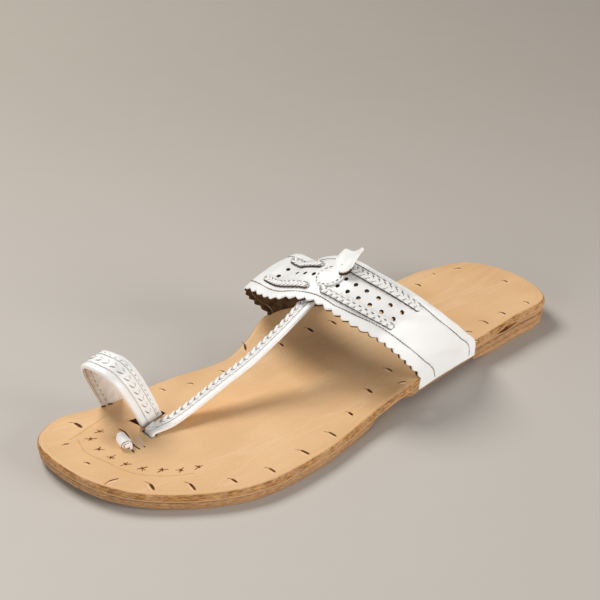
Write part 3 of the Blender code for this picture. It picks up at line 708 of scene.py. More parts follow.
def soleLayer(name, look, under, top, profile, inset, end=1.0, rough=0.0):
    # rings of points from the middle line out over the top, down the edge and back in
    # under the layer. Each profile row: inset in mm (or a share of the way to the middle,
    # below zero), share of the thickness from the top
    edge, spine = edgeLoop(end)
    reach = lengthOf(spine - edge)
    run = runAlong(edge)
    rings = []
    rims = []
    depths = []
    for move, down in profile:
        outside = np.sign(edge[:, :1] - spine[:, :1]) < 0.0
        base = inset(alongOf(edge[:, 1:]), outside)
        ripple = np.sin(run * 310.0 + 2.0 * down) + np.sin(run * 131.0) + 0.6 * np.sin(run * 743.0)
        wobble = rough * ripple
        distance = base + move * 0.001 + wobble[:, None] * (1.0 if move >= 0.0 else 0.0)
        share = distance / reach if move >= 0.0 else -move
        spot = edge + (spine - edge) * share
        low = under(spot[:, 0], spot[:, 1])
        high = top(spot[:, 0], spot[:, 1])
        rings.append(np.concatenate([spot, (high + (low - high) * down)[:, None]], axis=1))
        rims.append((lengthOf(spot - edge)[:, 0] - base[:, 0]) * 1000.0)
        depths.append(np.full(len(spot), down))
    rings = np.array(rings)
    faces = quadGrid(len(rings), rings.shape[1], closed=True)
    values = {"inset": np.array(rims), "depth": np.array(depths)}
    return makePiece(name, rings, faces, [look], None, values, 60.0)


innerRows = [-1.0, -0.86, -0.72, -0.6, -0.5, -0.41, -0.33, -0.26, -0.20]
profiles = {
    "insole": [(share, 0.0) for share in innerRows]
    + [(3.6, 0.0), (2.9, -0.008), (2.3, 0.012), (1.7, 0.0), (1.25, 0.02), (0.9, 0.06), (0.6, 0.12)]
    + [(0.32, 0.21), (0.12, 0.32)]
    + [(0.0, 0.46), (0.0, 0.6), (0.1, 0.68), (0.02, 0.76), (0.0, 0.86), (0.12, 0.94), (0.5, 1.0)]
    + [(3.0, 1.0)]
    + [(share, 1.0) for share in innerRows[::-2]]
    + [(-1.0, 1.0)],
    "outsole": [(share, 0.0) for share in innerRows[::2]]
    + [(2.5, 0.0), (0.8, 0.0), (0.35, 0.03), (0.1, 0.12), (0.0, 0.28), (0.0, 0.5), (0.05, 0.7)]
    + [(0.2, 0.86), (0.55, 0.96), (1.1, 1.0), (2.6, 1.0)]
    + [(share, 1.0) for share in innerRows[::-1]],
    "layer": [(share, 0.0) for share in innerRows[::2]]
    + [(0.5, 0.0), (0.1, 0.06), (0.0, 0.2), (0.06, 0.5), (0.0, 0.8), (0.15, 0.95), (0.6, 1.0)]
    + [(share, 1.0) for share in innerRows[::-1]],
}


def sameInset(value):
    # the same inset all round
    return lambda along, outside: np.full_like(along, value)


def liftUnder(x, y):
    # flat, then rising to the waist as the square of the share
    share = (alongOf(y) - sole["liftFlat"]) / (sole["liftEnd"] - sole["liftFlat"])
    return (sole["lift"] - sole["liftTip"]) * share.clip(0.0, 1.0) ** 2 + 0.0 * x


def waistInset(along, outside):
    # a small inset, and a smooth hill more on the outer side of the waist
    return sole["outsoleInset"] + sole["waistInset"] * hump(along, *sole["waist"]) * outside


insolePiece = soleLayer(
    "insoleLeather", looks["insole"], insoleUnder, insoleFace, profiles["insole"],
    sameInset(0.0), rough=0.00003,
)
outsolePiece = soleLayer(
    "outsoleLeather", looks["outsole"], outsoleUnder, outsoleTop, profiles["outsole"],
    waistInset, rough=0.00006,
)
wedgePiece = soleLayer(
    "heelWedgeLeather", looks["heel"], wedgeUnder, wedgeTop, profiles["layer"],
    sameInset(sole["wedgeInset"]), sole["wedgeEnd"], 0.00008,
)
liftPiece = soleLayer(
    "heelLiftLeather", looks["heel"], liftUnder, lambda x, y: 0.0 * x + sole["lift"],
    profiles["layer"], sameInset(sole["liftInset"]), sole["liftEnd"], 0.00008,
)
settle(outsolePiece, "sole_leather", "outsole")
settle(wedgePiece, "stacked_edge_leather", "heel_wedge")
settle(liftPiece, "stacked_edge_leather", "heel_lift")
print("sole layers made")

# slots in the insole, cut through

ring = {
    "outer": ((0.834, 0.300), (0.787, 0.372)),
    "inner": (0.852, 0.812),
    "height": 0.0284,
    "backRise": 0.0034,
    "lean": 0.0120,
    "power": 0.55,
    "wall": 0.0018,
    "slot": 0.0060,
    "slotTail": 0.0020,
    "room": 0.0006,
    "proud": 0.0003,
    "stations": 200,
    "strandPitch": 0.0041,
    "firstMark": 0.0085,
    # columns from the front edge to just before the middle, as shares of the width
    "shares": (0.0, 0.02, 0.05, 0.1, 0.18, 0.235, 0.255, 0.275, 0.30, 0.36, 0.43),
    # share of the width, height of the face there in mm
    "relief": [
        (0.0, -0.5), (0.02, -0.16), (0.05, -0.04), (0.1, 0.0), (0.235, 0.0), (0.255, -0.22),
        (0.275, 0.02), (0.36, 0.10), (0.5, 0.14), (0.64, 0.10), (0.725, 0.02), (0.745, -0.22),
        (0.765, 0.0), (0.9, 0.0), (0.95, -0.04), (0.98, -0.16), (1.0, -0.5),
    ],
    "petal": (0.0017, 0.0011, 0.00016),
    # how far a petal is behind its comma's foot, its level, the commas' offset and level
    "petalAt": (0.0013, 0.00014),
    "commaAt": (0.0001, 0.00017),
    "lastMark": 0.008,
    # tip along and across, bend, radius
    "comma": (0.0031, -0.0017, -0.0006, 0.00034),
    "faint": (0.0026, 0.0017, -0.0005, 0.00021),
    # share of the width from the middle, radius
    "grooves": [(-0.245, 0.00013), (0.245, 0.00015), (0.40, 0.00007)],
    "stitch": (0.0007, 0.00014, 0.00008),
    "innerStitch": (0.0010, 0.00015, 0.00010),
}
knot = {
    "place": (0.8815, 0.160),
    "turn": np.radians(-12.0),
    "squash": 0.85,
    "width": 0.0085,
    "radius": 0.0023,
    "wall": 0.0011,
    "spare": 0.0030,
    # the rounded outer face: points along and around, shares of the radius and the width,
    # how much deeper than high it is, and how it narrows to one end
    "rows": 25,
    "sides": 48,
    "fuller": 1.04,
    "reach": 0.53,
    "deeper": 1.1,
    "taper": 0.10,
    # its creases: angle, width as an angle, share of the radius
    "creases": [(2.1, 0.16, 0.10), (1.2, 0.13, 0.08)],
    # fold lines on the end: share of the radius, first and last angle
    "folds": [(0.80, -0.5, 2.9), (0.52, -0.9, 2.3)],
    "foldRadius": 1.14,
    "foldHalf": (0.00016, 0.00014),
    # corners of its slit: share of half the length, share of the opening
    "slit": [(-1.0, -0.1), (0.0, -0.8), (1.0, -0.1), (1.0, 0.1), (0.0, 0.8), (-1.0, 0.1)],
}
centre = {
    "rows": [
        (0.841, 0.000), (0.835, 0.043), (0.825, 0.050), (0.797, 0.062), (0.771, 0.10),
        (0.732, 0.18), (0.691, 0.27), (0.656, 0.34), (0.630, 0.40), (0.603, 0.48), (0.576, 0.56),
    ],
    "toe": 0.178,
    "tilt": np.radians(9.0),
    "top": 0.115,
    "under": (0.03, 0.45),
    "width": 0.0082,
    "thickness": 0.0015,
    "split": -0.16,
    "lowWidth": 0.8,
    "strandPitch": 0.0036,
    "stations": 220,
    # distances along it: where it is as wide as above, where the plait starts and ends
    "widenOver": (0.004, 0.016),
    "plaitEnds": (0.006, 0.012),
    # the plait's room beside the split, its level, the chevrons' start, end and level
    "plaitIn": 0.0006,
    "plaitLevel": -0.00058,
    "chevronEnds": (0.012, 0.014),
    "chevronLevel": -0.00022,
    # the dark split's place beside the edge, its level and half sizes
    "splitLine": (0.00022, -0.00042, 0.00027, 0.00022),
    # half length, half width and half height of a strand, and its lean
    "strand": (0.0023, 0.00098, 0.00034),
    "lean": np.radians(34.0),
    # tip along and across, bend and radius of each arm of a chevron
    "chevron": [(0.0021, -0.0016, 0.0002, 0.00020), (0.0021, 0.0016, 0.0002, 0.00020)],
    # the section: share of the half width and of the thickness on the rim, distance from the
    # split and height, share of the half width and height, share along the underside
    "rim": [
        (-1.0, -0.55), (-0.99, -0.22), (-0.9, -0.06), (-0.72, 0.0), (-0.5, 0.0), (-0.34, -0.06),
    ],
    "splitGround": [(0.0, -0.00035), (0.0002, -0.00062), (0.0005, -0.0006), (0.0012, -0.0006)],
    "ground": [(0.6, -0.0006), (0.86, -0.00055), (0.97, -0.0007), (1.0, -0.0011)],
    "underside": (0.99, 0.3, -0.4, -0.97),
}


def ringFeet(across):
    # where the ring's outer and inner leg stand, from its front edge to its back edge
    (frontAlong, frontWide), (backAlong, backWide) = ring["outer"]
    along = frontAlong + (backAlong - frontAlong) * across
    x = (frontWide + (backWide - frontWide) * across) * halfWidth(along)
    y = yOf(along)
    outer = np.array([x, y, insoleTop(x, y)])
    y = yOf(ring["inner"][0] + (ring["inner"][1] - ring["inner"][0]) * across)
    x = sideX(y, True) + ring["proud"]
    return outer, np.array([x, y, insoleTop(x, y)])


def prism(corners, low, high):
    # a closed block over a polygon of floor points
    count = len(corners)
    points = [(*corner, low) for corner in corners] + [(*corner, high) for corner in corners]
    faces = [list(range(count)), list(range(count, 2 * count))]
    for k in range(count):
        after = (k + 1) % count
        faces.append([k, after, count + after, count + k])
    return np.array(points), faces


def knotFrame():
    # the knot's place, the direction along its roll and the direction to the toe
    along, across = knot["place"]
    x = across * halfWidth(along)
    y = yOf(along)
    straight = np.array([np.cos(knot["turn"]), np.sin(knot["turn"]), 0.0])
    toward = np.array([-np.sin(knot["turn"]), np.cos(knot["turn"]), 0.0])
    return np.array([x, y, 0.0]), straight, toward


def slotBlocks():
    # the ring's slot, the knot's slit and the centre strap's slit
    frontFoot = ringFeet(0.0)[0]
    backFoot = ringFeet(1.0)[0]
    room = ring["room"]
    slot = [
        (frontFoot[0] - room, frontFoot[1] + room),
        (frontFoot[0] + 0.5 * ring["slot"], frontFoot[1] + 1.6 * room),
        (frontFoot[0] + ring["slot"] + ring["slotTail"], frontFoot[1] + 3.6 * room),
        (backFoot[0] + ring["wall"] + room, backFoot[1] - room),
        (backFoot[0] - room, backFoot[1] - 2.0 * room),
    ]
    spot, straight, toward = knotFrame()
    half = 0.5 * knot["width"] + knot["spare"]
    slit = []
    for side, offset in knot["slit"]:
        slit.append(tuple((spot + straight * side * half + toward * offset * 0.0014)[:2]))
    mouthY = yOf(centre["rows"][0][0])
    mouthX = centre["toe"] * halfWidth(centre["rows"][0][0])
    half = 0.5 * centre["width"] * centre["lowWidth"] + 0.0001
    toe = [
        (mouthX - half, mouthY + 0.0008), (mouthX + half, mouthY + 0.0008),
        (mouthX + half, mouthY - 0.0030), (mouthX - half, mouthY - 0.0030),
    ]
    return [prism(corners, 0.0028, 0.02) for corners in (slot, slit, toe)]


def cutOut(piece, parts, look, name):
    # cuts the closed blocks out of a piece and applies the cut
    points, faces = joined(parts)
    tool = makePiece(name, points, faces, [look])
    change = piece.modifiers.new(name, "BOOLEAN")
    change.operation = "DIFFERENCE"
    change.solver = "EXACT"
    change.material_mode = "TRANSFER"
    change.object = tool
    bpy.context.view_layer.update()
    cut = piece.evaluated_get(bpy.context.evaluated_depsgraph_get())
    done = bpy.data.meshes.new_from_object(cut)
    piece.modifiers.clear()
    piece.data = done
    bpy.data.objects.remove(tool, do_unlink=True)


# the slots' walls take the dark lining finish: painted shade in the slots
cutOut(insolePiece, slotBlocks(), looks["liningAndShade"], "slotCut")
settle(insolePiece, "tan_insole_leather", "insole")
print("slots cut")

# punched stars, slits and scribed lines on the insole

marks = {
    # where each star is punched, in mm
    "stars": [
        (22.9, 203.1), (20.2, 209.1), (11.4, 210.7), (3.1, 210.2), (-4.5, 208.2),
        (-11.2, 204.4), (-17.1, 198.7), (-22.2, 192.8), (-25.2, 186.1),
    ],
    "rays": 5,
    "rayLength": 1.3,
    # slits in mm: x, y, turn in degrees from across the sole, half length, half width
    "slits": [
        (32.3, 207.6, 6, 2.7, 0.62), (22.3, 219.7, 70, 1.2, 0.35), (4.9, 220.3, 20, 1.1, 0.4),
        (-11.5, 218.7, 82, 2.6, 0.34), (-24.3, 208.8, -14, 2.6, 0.52),
        (-34.6, 196.1, -10, 2.7, 0.45),
        (-42.1, 180.7, 4, 1.9, 0.45), (-46.4, 164.4, 2, 2.1, 0.45), (-45.5, 145.9, 8, 2.5, 0.5),
        (-42.9, 128.4, 4, 2.4, 0.45), (-36.6, 112.3, -4, 1.6, 0.48), (-30.3, 95.3, -6, 2.0, 0.55),
        (-25.0, 78.3, 0, 1.9, 0.4), (-36.0, 80.5, 55, 1.4, 0.3), (32.2, 163.0, 12, 1.2, 0.3),
        (28.4, 150.3, 30, 1.1, 0.3), (26.7, 133.1, 4, 1.5, 0.34), (34.9, 114.1, -30, 2.3, 0.4),
        (23.9, 101.1, 0, 1.4, 0.4), (23.3, 84.0, 4, 2.0, 0.55), (21.6, 70.9, 0, 2.0, 0.5),
        (21.7, 14.0, 0, 1.5, 0.42), (21.1, -13.5, 40, 1.5, 0.36), (-3.9, -21.6, 0, 1.3, 0.4),
        (-25.8, -13.3, 2, 1.3, 0.36), (-25.4, 3.4, 4, 1.5, 0.42), (-25.4, 15.8, 0, 2.0, 0.4),
        (24.8, 0.2, 0, 0.7, 0.3), (-26.0, 27.6, 30, 1.6, 0.3), (-32.7, 31.2, 30, 1.6, 0.3),
    ],
    "rayHalf": (0.00026, 0.00036, 0.00010),
    "dotHalf": (0.0008, 0.00052, 0.00015),
    "slitWiden": 1.55,
    "slitHigh": 0.00016,
    # share of the slit's half length, half width, half height
    "tear": (0.7, 0.00017, 0.00011),
    "lip": (1.15, 0.00055, 0.00022),
    "lineHalf": 0.00016,
    # scribed lines in mm
    "lines": [
        [(31.4, 194.3), (28.5, 204.0), (24.4, 217.5)],
        [
            (23.4, 213.7), (12.5, 216.4), (1.3, 213.6),
            (-11.4, 209.6), (-20.5, 201.5), (-27.8, 189.5),
        ],
    ],
    # the knot's slit and the dark dot beside it, in mm
    "knotSlit": [
        (19.2, 195.5), (15.5, 195.0), (12.6, 195.6), (8.0, 197.2), (4.9, 197.6), (0.6, 197.4),
    ],
    "knotSlitHalf": 0.0004,
    "knotDot": (1.1, 194.8),
    "knotDotHalf": (0.0006, 0.0004, 0.00016),
    # the two painted shadow spots at the ring's inner leg: share across the band, turn, half sizes
    "legShadowSpots": (0.05, 0.36),
    "legShadowTurn": 1.2,
    "legShadowHalf": (0.0013, 0.0006, 0.0004),
    # the grey flap behind the knot, in mm
    "flap": [(9.7, 194.9), (7.5, 192.3), (1.9, 194.3), (0.9, 196.8), (4.6, 197.2)],
    # share of the flap's size and its height there
    "flapRings": [
        (0.0, 0.00032), (0.5, 0.0003), (0.85, 0.00022), (1.0, 0.00008), (1.0, -0.0003),
    ],
    # the dark lens at the heel's outer side: place, half length, width and height
    "edgeGap": 0.0072,
    "edgeGapHalf": (0.0082, 0.0007, 0.0012),
}


def onFace(x, y, lift=0.0):
    # points on the insole's face, or a lift above it
    return np.stack([x, y, insoleFace(x, y) + lift], axis=-1)


def flatSpindles(x, y, turn, *half):
    # spindles that lie on the insole, turned by an angle from the line across the sole
    turn, *half, _ = np.broadcast_arrays(turn, *half, x)
    forward = np.stack([np.cos(turn), np.sin(turn), np.zeros_like(turn)], axis=1)
    here = onFace(x, y)
    ahead = onFace(x + forward[:, 0] * 0.001, y + forward[:, 1] * 0.001)
    forward = unit(ahead - here)
    side = unit(np.cross((0.0, 0.0, 1.0), forward))
    up = np.cross(forward, side)
    return spindleMesh(here, forward, side, up, np.stack(half, axis=1))[:2]


def makeStars():
    # rays round each punch, each turned and shortened a little by a sine of its number
    spots = np.array(marks["stars"]) * 0.001
    count = marks["rays"]
    star = np.repeat(np.arange(len(spots)), count)
    ray = np.tile(np.arange(count), len(spots))
    angle = 2.0 * np.pi * (ray + 0.23 * np.sin(2.1 * star + ray)) / count + 0.7 * star
    reach = marks["rayLength"] * 0.001 * (0.8 + 0.35 * np.sin(1.3 * star + 2.2 * ray))
    x = spots[star, 0] + np.cos(angle) * reach * 0.9
    y = spots[star, 1] + np.sin(angle) * reach * 0.9
    narrow, wide, high = marks["rayHalf"]
    rays = flatSpindles(x, y, angle, reach, np.where(ray % 2, wide, narrow), high)
    addPiece("starRays", rays, "star", "tan_insole_leather")
    dots = flatSpindles(*spots.T, 0.0, *marks["dotHalf"])
    addPiece("starDots", dots, "mark", "tan_insole_leather")


def makeSlits():
    # a dark spindle for each slit, a tear that runs on from its inner end by a bend of half
    # a radian, and a lip on its front side
    x, y, turn, half, wide = np.array(marks["slits"]).T * 0.001
    turn = np.radians(turn * 1000.0)
    wide = wide * marks["slitWiden"]
    dark = flatSpindles(x, y, turn, half, wide, marks["slitHigh"])
    addPiece("stitchSlits", dark, "mark", "tan_insole_leather")
    tear = np.sign(np.cos(turn))
    bend = turn + 0.5 * tear
    tearX = x + np.cos(turn) * half * tear * 0.8 + np.cos(bend) * half * tear * 0.5
    tearY = y + np.sin(turn) * half * tear * 0.8 + np.sin(bend) * half * tear * 0.5
    share, tearWide, tearHigh = marks["tear"]
    tears = flatSpindles(tearX, tearY, bend, half * share, tearWide, tearHigh)
    addPiece("slitTears", tears, "star", "tan_insole_leather")
    lipX = x - np.sin(turn) * (wide + 0.0003)
    lipY = y + np.cos(turn) * (wide + 0.0003)
    share, lipWide, lipHigh = marks["lip"]
    lips = flatSpindles(lipX, lipY, turn, half * share, lipWide, lipHigh)
    addPiece("slitLips", lips, "lip", "tan_insole_leather")


def scribedLine(points, half):
    # a fine tube on the insole's face through the given floor points
    points = np.array(points) * 0.001
    line = throughPoints(points, np.linspace(0.0, len(points) - 1.0, 60))
    line = onFace(line[:, 0], line[:, 1], 0.00001)
    forward = unit(np.gradient(line, axis=0))
    side = unit(np.cross((0.0, 0.0, 1.0), forward))
    up = np.cross(forward, side)
    return tubeMesh(line, side, up, half, 0.00006)


def makeLines():
    # the scribed lines, the knot's slit with its dot, painted shadow spots at the ring's leg, and
    # the flap, which is its outline drawn in toward the middle in rings
    drawn = [scribedLine(points, marks["lineHalf"]) for points in marks["lines"]]
    addPiece("scribedLines", joined(drawn), "scribe", "tan_insole_leather")
    slit = scribedLine(marks["knotSlit"], marks["knotSlitHalf"])
    dotX, dotY = np.array(marks["knotDot"])[:, None] * 0.001
    dot = flatSpindles(dotX, dotY, 0.0, *marks["knotDotHalf"])
    # painted shadow: two dark spots on the insole beside the ring's inner leg
    spots = np.array([ringFeet(across)[1][:2] for across in marks["legShadowSpots"]])
    spotX = spots[:, 0] - ring["wall"] - 0.0005
    legShadows = flatSpindles(spotX, spots[:, 1], marks["legShadowTurn"], *marks["legShadowHalf"])
    addPiece("knotSlitLine", joined([slit, dot, legShadows]), "mark", "tan_insole_leather")
    corners = np.array(marks["flap"]) * 0.001
    loop = evenly(np.concatenate([corners, corners[:1]]), 41)[:-1]
    middle = loop.mean(axis=0)
    rings = []
    for share, lift in marks["flapRings"]:
        spot = middle + (loop - middle) * share
        rings.append(onFace(spot[:, 0], spot[:, 1], lift))
    flap = np.array(rings), quadGrid(len(rings), len(loop), closed=True)
    addPiece("knotFlap", flap, "flap", "tan_insole_leather")


def makeEdgeGap():
    # the dark lens where insole and wedge part at the heel's outer side
    y = np.array([marks["edgeGap"]])
    x = sideX(y, False)
    ahead = np.stack([sideX(y + 0.001, False), y + 0.001], axis=1) - np.stack([x, y], axis=1)
    forward = unit(np.concatenate([ahead, 0.0 * y[:, None]], axis=1))
    up = np.array([[0.0, 0.0, 1.0]])
    side = np.cross(up, forward)
    centre = np.stack([x + 0.0003, y, wedgeTop(x, y) + 0.0002], axis=1)
    lens = spindleMesh(centre, forward, side, up, marks["edgeGapHalf"], 13, 10, 0.8)
    addPiece("heelEdgeGap", lens[:2], "mark", "stacked_edge_leather")


makeStars()
makeSlits()
makeLines()
makeEdgeGap()
print("insole marks made")

# the instep strap

strap = {
    "instep": 0.0450,
    "wall": 0.0022,
    "bulge": 0.0016,
    "proud": 0.0003,
    "ledge": 0.0024,
    "toothPitch": 0.0050,
    "toothDepth": 0.0014,
    "outerFoot": (0.405, 0.245),
    "innerFoot": (0.487, 0.349),
    # front edge and back edge: share of the length, of the half width, of the height
    "rows": [
        ((0.431, -1.00, 0.22), (0.271, -1.04, 0.18)),
        ((0.462, -0.89, 0.46), (0.317, -1.01, 0.44)),
        ((0.489, -0.75, 0.64), (0.359, -0.87, 0.68)),
        ((0.508, -0.55, 0.74), (0.389, -0.68, 0.86)),
        ((0.515, -0.30, 0.79), (0.412, -0.36, 0.99)),
        ((0.519, 0.02, 0.81), (0.417, -0.03, 1.02)),
        ((0.530, 0.27, 0.76), (0.420, 0.30, 0.96)),
        ((0.542, 0.47, 0.69), (0.422, 0.52, 0.845)),
        ((0.540, 0.63, 0.63), (0.417, 0.69, 0.725)),
        ((0.536, 0.83, 0.56), (0.421, 0.94, 0.675)),
        ((0.530, 1.01, 0.46), (0.414, 1.14, 0.57)),
        ((0.516, 1.10, 0.28), (0.393, 1.14, 0.36)),
        ((0.499, 1.08, 0.11), (0.370, 1.08, 0.16)),
    ],
    # share over the foot, share of the width
    "frontSeam": [
        (0.0, 0.28), (0.052, 0.22), (0.202, 0.19), (0.318, 0.19), (0.438, 0.12),
        (0.542, 0.13), (0.652, 0.145), (0.775, 0.17), (1.0, 0.20),
    ],
    "backSeam": [
        (0.0, 0.90), (0.088, 0.86), (0.22, 0.855), (0.275, 0.88), (0.33, 0.90), (0.413, 0.915),
        (0.495, 0.915), (0.6, 0.90), (0.7, 0.89), (1.0, 0.88),
    ],
    "seamDepth": 0.00022,
    # share over the foot from and to, share of the width there, number of holes
    "holes": [
        (0.295, 0.473, 0.58, 0.57, 6), (0.292, 0.475, 0.41, 0.40, 6),
        (0.576, 0.648, 0.49, 0.54, 3), (0.712, 0.712, 0.42, 0.60, 2),
    ],
    "holeWidth": 0.0021,
    "samplesInTooth": 10,
    # the rounded edge: mm from the edge inward, mm above the outer face
    "rim": [
        (0.45, 0.0), (0.16, -0.07), (0.03, -0.25), (0.0, -0.6),
        (0.0, -1.3), (0.06, -1.9), (0.3, -2.2),
    ],
    # lining seam's share of the width, threads' pitch, their half sizes and those of the
    # knots between them
    "liningSeam": 0.085,
    "threadPitch": 0.0034,
    "thread": (0.0014, 0.00024, 0.00014),
    "threadKnot": (0.00032, 0.00040, 0.00018),
}


def footPoints(foot, inner, across, height):
    # a row of the strap's foot on the sole's side, at a height given as a function
    y = yOf(foot[0] + (foot[1] - foot[0]) * across)
    x = sideX(y, inner) + (strap["proud"] if inner else -strap["proud"])
    return np.stack([x, y, height(x, y)], axis=1)


def strapEnd(x, y):
    # the ledge that the foot stands on
    return outsoleUnder(x, y) + strap["ledge"]


def edgePoint(row):
    # a place from shares of the length, the half width and the strap's height
    along, across, up = row
    x = across * halfWidth(along)
    y = yOf(along)
    return np.array([x, y, insoleTop(x, y) + up * strap["instep"]])


def strapControl(across):
    # the strap's outer face as rows over the foot: straight lines from the front edge to
    # the back edge, raised in their middle by a parabola
    rows = [
        footPoints(strap["outerFoot"], False, across, strapEnd),
        footPoints(strap["outerFoot"], False, across, insoleTop),
    ]
    for frontRow, backRow in strap["rows"]:
        front = edgePoint(frontRow)
        back = edgePoint(backRow)
        line = front + (back - front) * across[:, None]
        middle = 0.5 * (front + back)
        out = unit(np.array([middle[0], 0.0, middle[2] - insoleTop(0.0, middle[1])]))
        rows.append(line + out * (4.0 * strap["bulge"] * across * (1.0 - across))[:, None])
    rows.append(footPoints(strap["innerFoot"], True, across, insoleTop))
    rows.append(footPoints(strap["innerFoot"], True, across, strapEnd))
    return np.array(rows)


strapMiddle = strapControl(np.array([0.5]))[:, 0]
strapMiddleRun = runAlong(strapMiddle)


def strapPoint(over, across):
    # a place on the outer face: share over the foot, share from the front to the back edge
    over, across = np.broadcast_arrays(np.asarray(over, float), np.asarray(across, float))
    shares = strapMiddleRun / strapMiddleRun[-1]
    where = np.interp(over.ravel(), shares, np.arange(len(shares)))
    return throughPoints(strapControl(across.ravel()), where).reshape(*over.shape, 3)


def strapOut(over, across):
    # straight out of the face: the cross product of its two directions
    step = 0.004
    low = np.clip(np.asarray(over, float) - step, 0.0, 1.0)
    high = np.clip(np.asarray(over, float) + step, 0.0, 1.0)
    along = strapPoint(high, across) - strapPoint(low, across)
    back = strapPoint(over, across + step) - strapPoint(over, across - step)
    return unit(np.cross(back, along))


def strapLift(over, across, height):
    # a place on the face, moved straight out by a height
    height = np.broadcast_to(height, np.broadcast(over, across).shape)
    return strapPoint(over, across) + strapOut(over, across) * height[..., None]


def strapWidth(over):
    # straight distance from the front to the back edge
    return lengthOf(strapPoint(over, 1.0) - strapPoint(over, 0.0))[..., 0]


def strapRun(across):
    # length of a line over the foot
    return runAlong(strapPoint(np.linspace(0.0, 1.0, 200), across))[-1]


def seamAt(title, over):
    # where a seam lies across the strap, straight between the listed places
    table = np.array(strap[title])
    return np.interp(over, table[:, 0], table[:, 1])


def strapRelief(over, across, width):
    # troughs along both seams, a soft hem behind the back seam, and slow unevenness
    fromFront = (across - seamAt("frontSeam", over)) * width
    fromBack = (across - seamAt("backSeam", over)) * width
    trough = bell(fromFront, 0.0, 0.0006) + bell(fromBack, 0.0, 0.0006)
    hem = 0.00016 * ease(fromBack, 0.0006, 0.002)
    slow = 0.00010 * np.sin(over * 61.0 + across * 7.0) * np.sin(across * 9.0 + over * 17.0)
    return hem + slow - strap["seamDepth"] * trough


def makeStrap():
    # loops round the wall, from the front rim over the face to the back rim and back along
    # the lining. A tooth's notch is a mix of a straight wave and the size of a sine
    teeth = int(round(strapRun(0.0) / strap["toothPitch"]))
    over = np.linspace(0.0, 1.0, teeth * strap["samplesInTooth"] + 1)
    phase = over * teeth
    width = strapWidth(over)
    point = 1.0 - 2.0 * np.abs(phase % 1.0 - 0.5)
    notch = 1.0 - (0.45 * point + 0.55 * np.abs(np.sin(np.pi * phase)))
    notch = notch * ease(phase, 0.0, 0.6) * (1.0 - ease(phase, teeth - 0.6, teeth))
    front = notch * strap["toothDepth"] / width
    wall = strap["wall"]
    shares = np.concatenate([[0.02, 0.04, 0.065], np.linspace(0.09, 0.965, 46), [0.985]])
    rim = np.array(strap["rim"]) * 0.001
    columns = []
    heights = []
    for inward, height in rim[::-1]:
        columns.append(front + inward / width)
        heights.append(np.full_like(over, height))
    for share in shares:
        across = share + front * np.clip(1.0 - share / 0.09, 0.0, 1.0)
        columns.append(across)
        heights.append(strapRelief(over, across, width))
    for inward, height in rim:
        columns.append(1.0 - inward / width)
        heights.append(height + strapRelief(over, 1.0, width) * (1.0 + height / wall))
    for share in shares[::-3]:
        columns.append(share + front * np.clip(1.0 - share / 0.09, 0.0, 1.0))
        heights.append(np.full_like(over, -wall))
    across = np.stack(columns, axis=1)
    height = np.stack(heights, axis=1)
    loops = strapLift(np.repeat(over[:, None], across.shape[1], axis=1), across, height)
    around = across.shape[1]
    rimSteps = len(rim)
    lookOf = np.zeros(around, int)
    lookOf[: rimSteps - 4] = 1
    lookOf[rimSteps + len(shares) + 4 :] = 1
    # the underside takes the dark lining finish: its own brown, partly painted shade
    piece = sweptLoop("instepStrapLeather", loops, [looks["white"], looks["liningAndShade"]], lookOf)
    # the holes' walls take the dark finish: painted shadow inside the holes
    cutOut(piece, holePunches(), looks["shadow"], "holeCut")
    settle(piece, "white_strap_leather", "instep_strap")


def holePlaces():
    # the punched holes at equal distances along each row
    over = []
    across = []
    for overFirst, overLast, acrossFirst, acrossLast, holes in strap["holes"]:
        share = np.linspace(0.0, 1.0, holes)
        over.append(overFirst + (overLast - overFirst) * share)
        across.append(acrossFirst + (acrossLast - acrossFirst) * share)
    return np.concatenate(over), np.concatenate(across)


def holePunches():
    # a round rod through the wall at each hole
    sides = 20
    angle = np.arange(sides) * 2.0 * np.pi / sides
    over, across = holePlaces()
    centres = strapPoint(over, across)
    out = strapOut(over, across)
    side = unit(np.cross(out, (0.0, 1.0, 0.0)))
    up = np.cross(side, out)
    parts = []
    radius = 0.5 * strap["holeWidth"]
    for middle, outward, first, second in zip(centres, out, side, up):
        circle = first * np.cos(angle)[:, None] + second * np.sin(angle)[:, None]
        circle = middle + circle * radius
        points = np.concatenate([circle + outward * 0.002, circle - outward * 0.005])
        faces = [list(range(sides)), list(range(sides, 2 * sides))]
        faces += [[k, (k + 1) % sides, sides + (k + 1) % sides, sides + k] for k in range(sides)]
        parts.append((points, faces))
    return parts


makeStrap()
print("instep strap made")

# plaits, seams and threads on the strap


def strapPath(over, across, count=120):
    # a line on the strap with its direction, the direction to the back edge and outwards
    line = strapPoint(over, across)
    spots = np.linspace(0.0, runAlong(line)[-1], count)
    out = strapOut(over, across)
    run = runAlong(line)
    out = unit(np.stack([np.interp(spots, run, out[:, k]) for k in range(3)], axis=1))
    line = atDistance(line, spots)
    forward = unit(np.gradient(line, axis=0))
    side = unit(np.cross(forward, out))
    return {"line": line, "forward": forward, "side": side, "out": out, "run": runAlong(line)}


def onPath(path, distance, sideways, height):
    # a place on a path, and its three directions there
    distance = np.asarray(distance, float)
    run = path["run"]
    values = {}
    for title in ("line", "forward", "side", "out"):
        columns = [np.interp(distance, run, path[title][:, k]) for k in range(3)]
        values[title] = np.stack(columns, axis=-1)
    spot = values["line"] + values["side"] * np.asarray(sideways)[..., None]
    spot = spot + values["out"] * np.asarray(height)[..., None]
    return spot, unit(values["forward"]), unit(values["side"]), unit(values["out"])


def cordAlong(path, distance, sideways, height, halfWide, halfHigh, sides=8):
    # a thin cord beside a path
    spot, _, side, out = onPath(path, distance, sideways, height)
    return tubeMesh(spot, side, out, halfWide, halfHigh, sides)


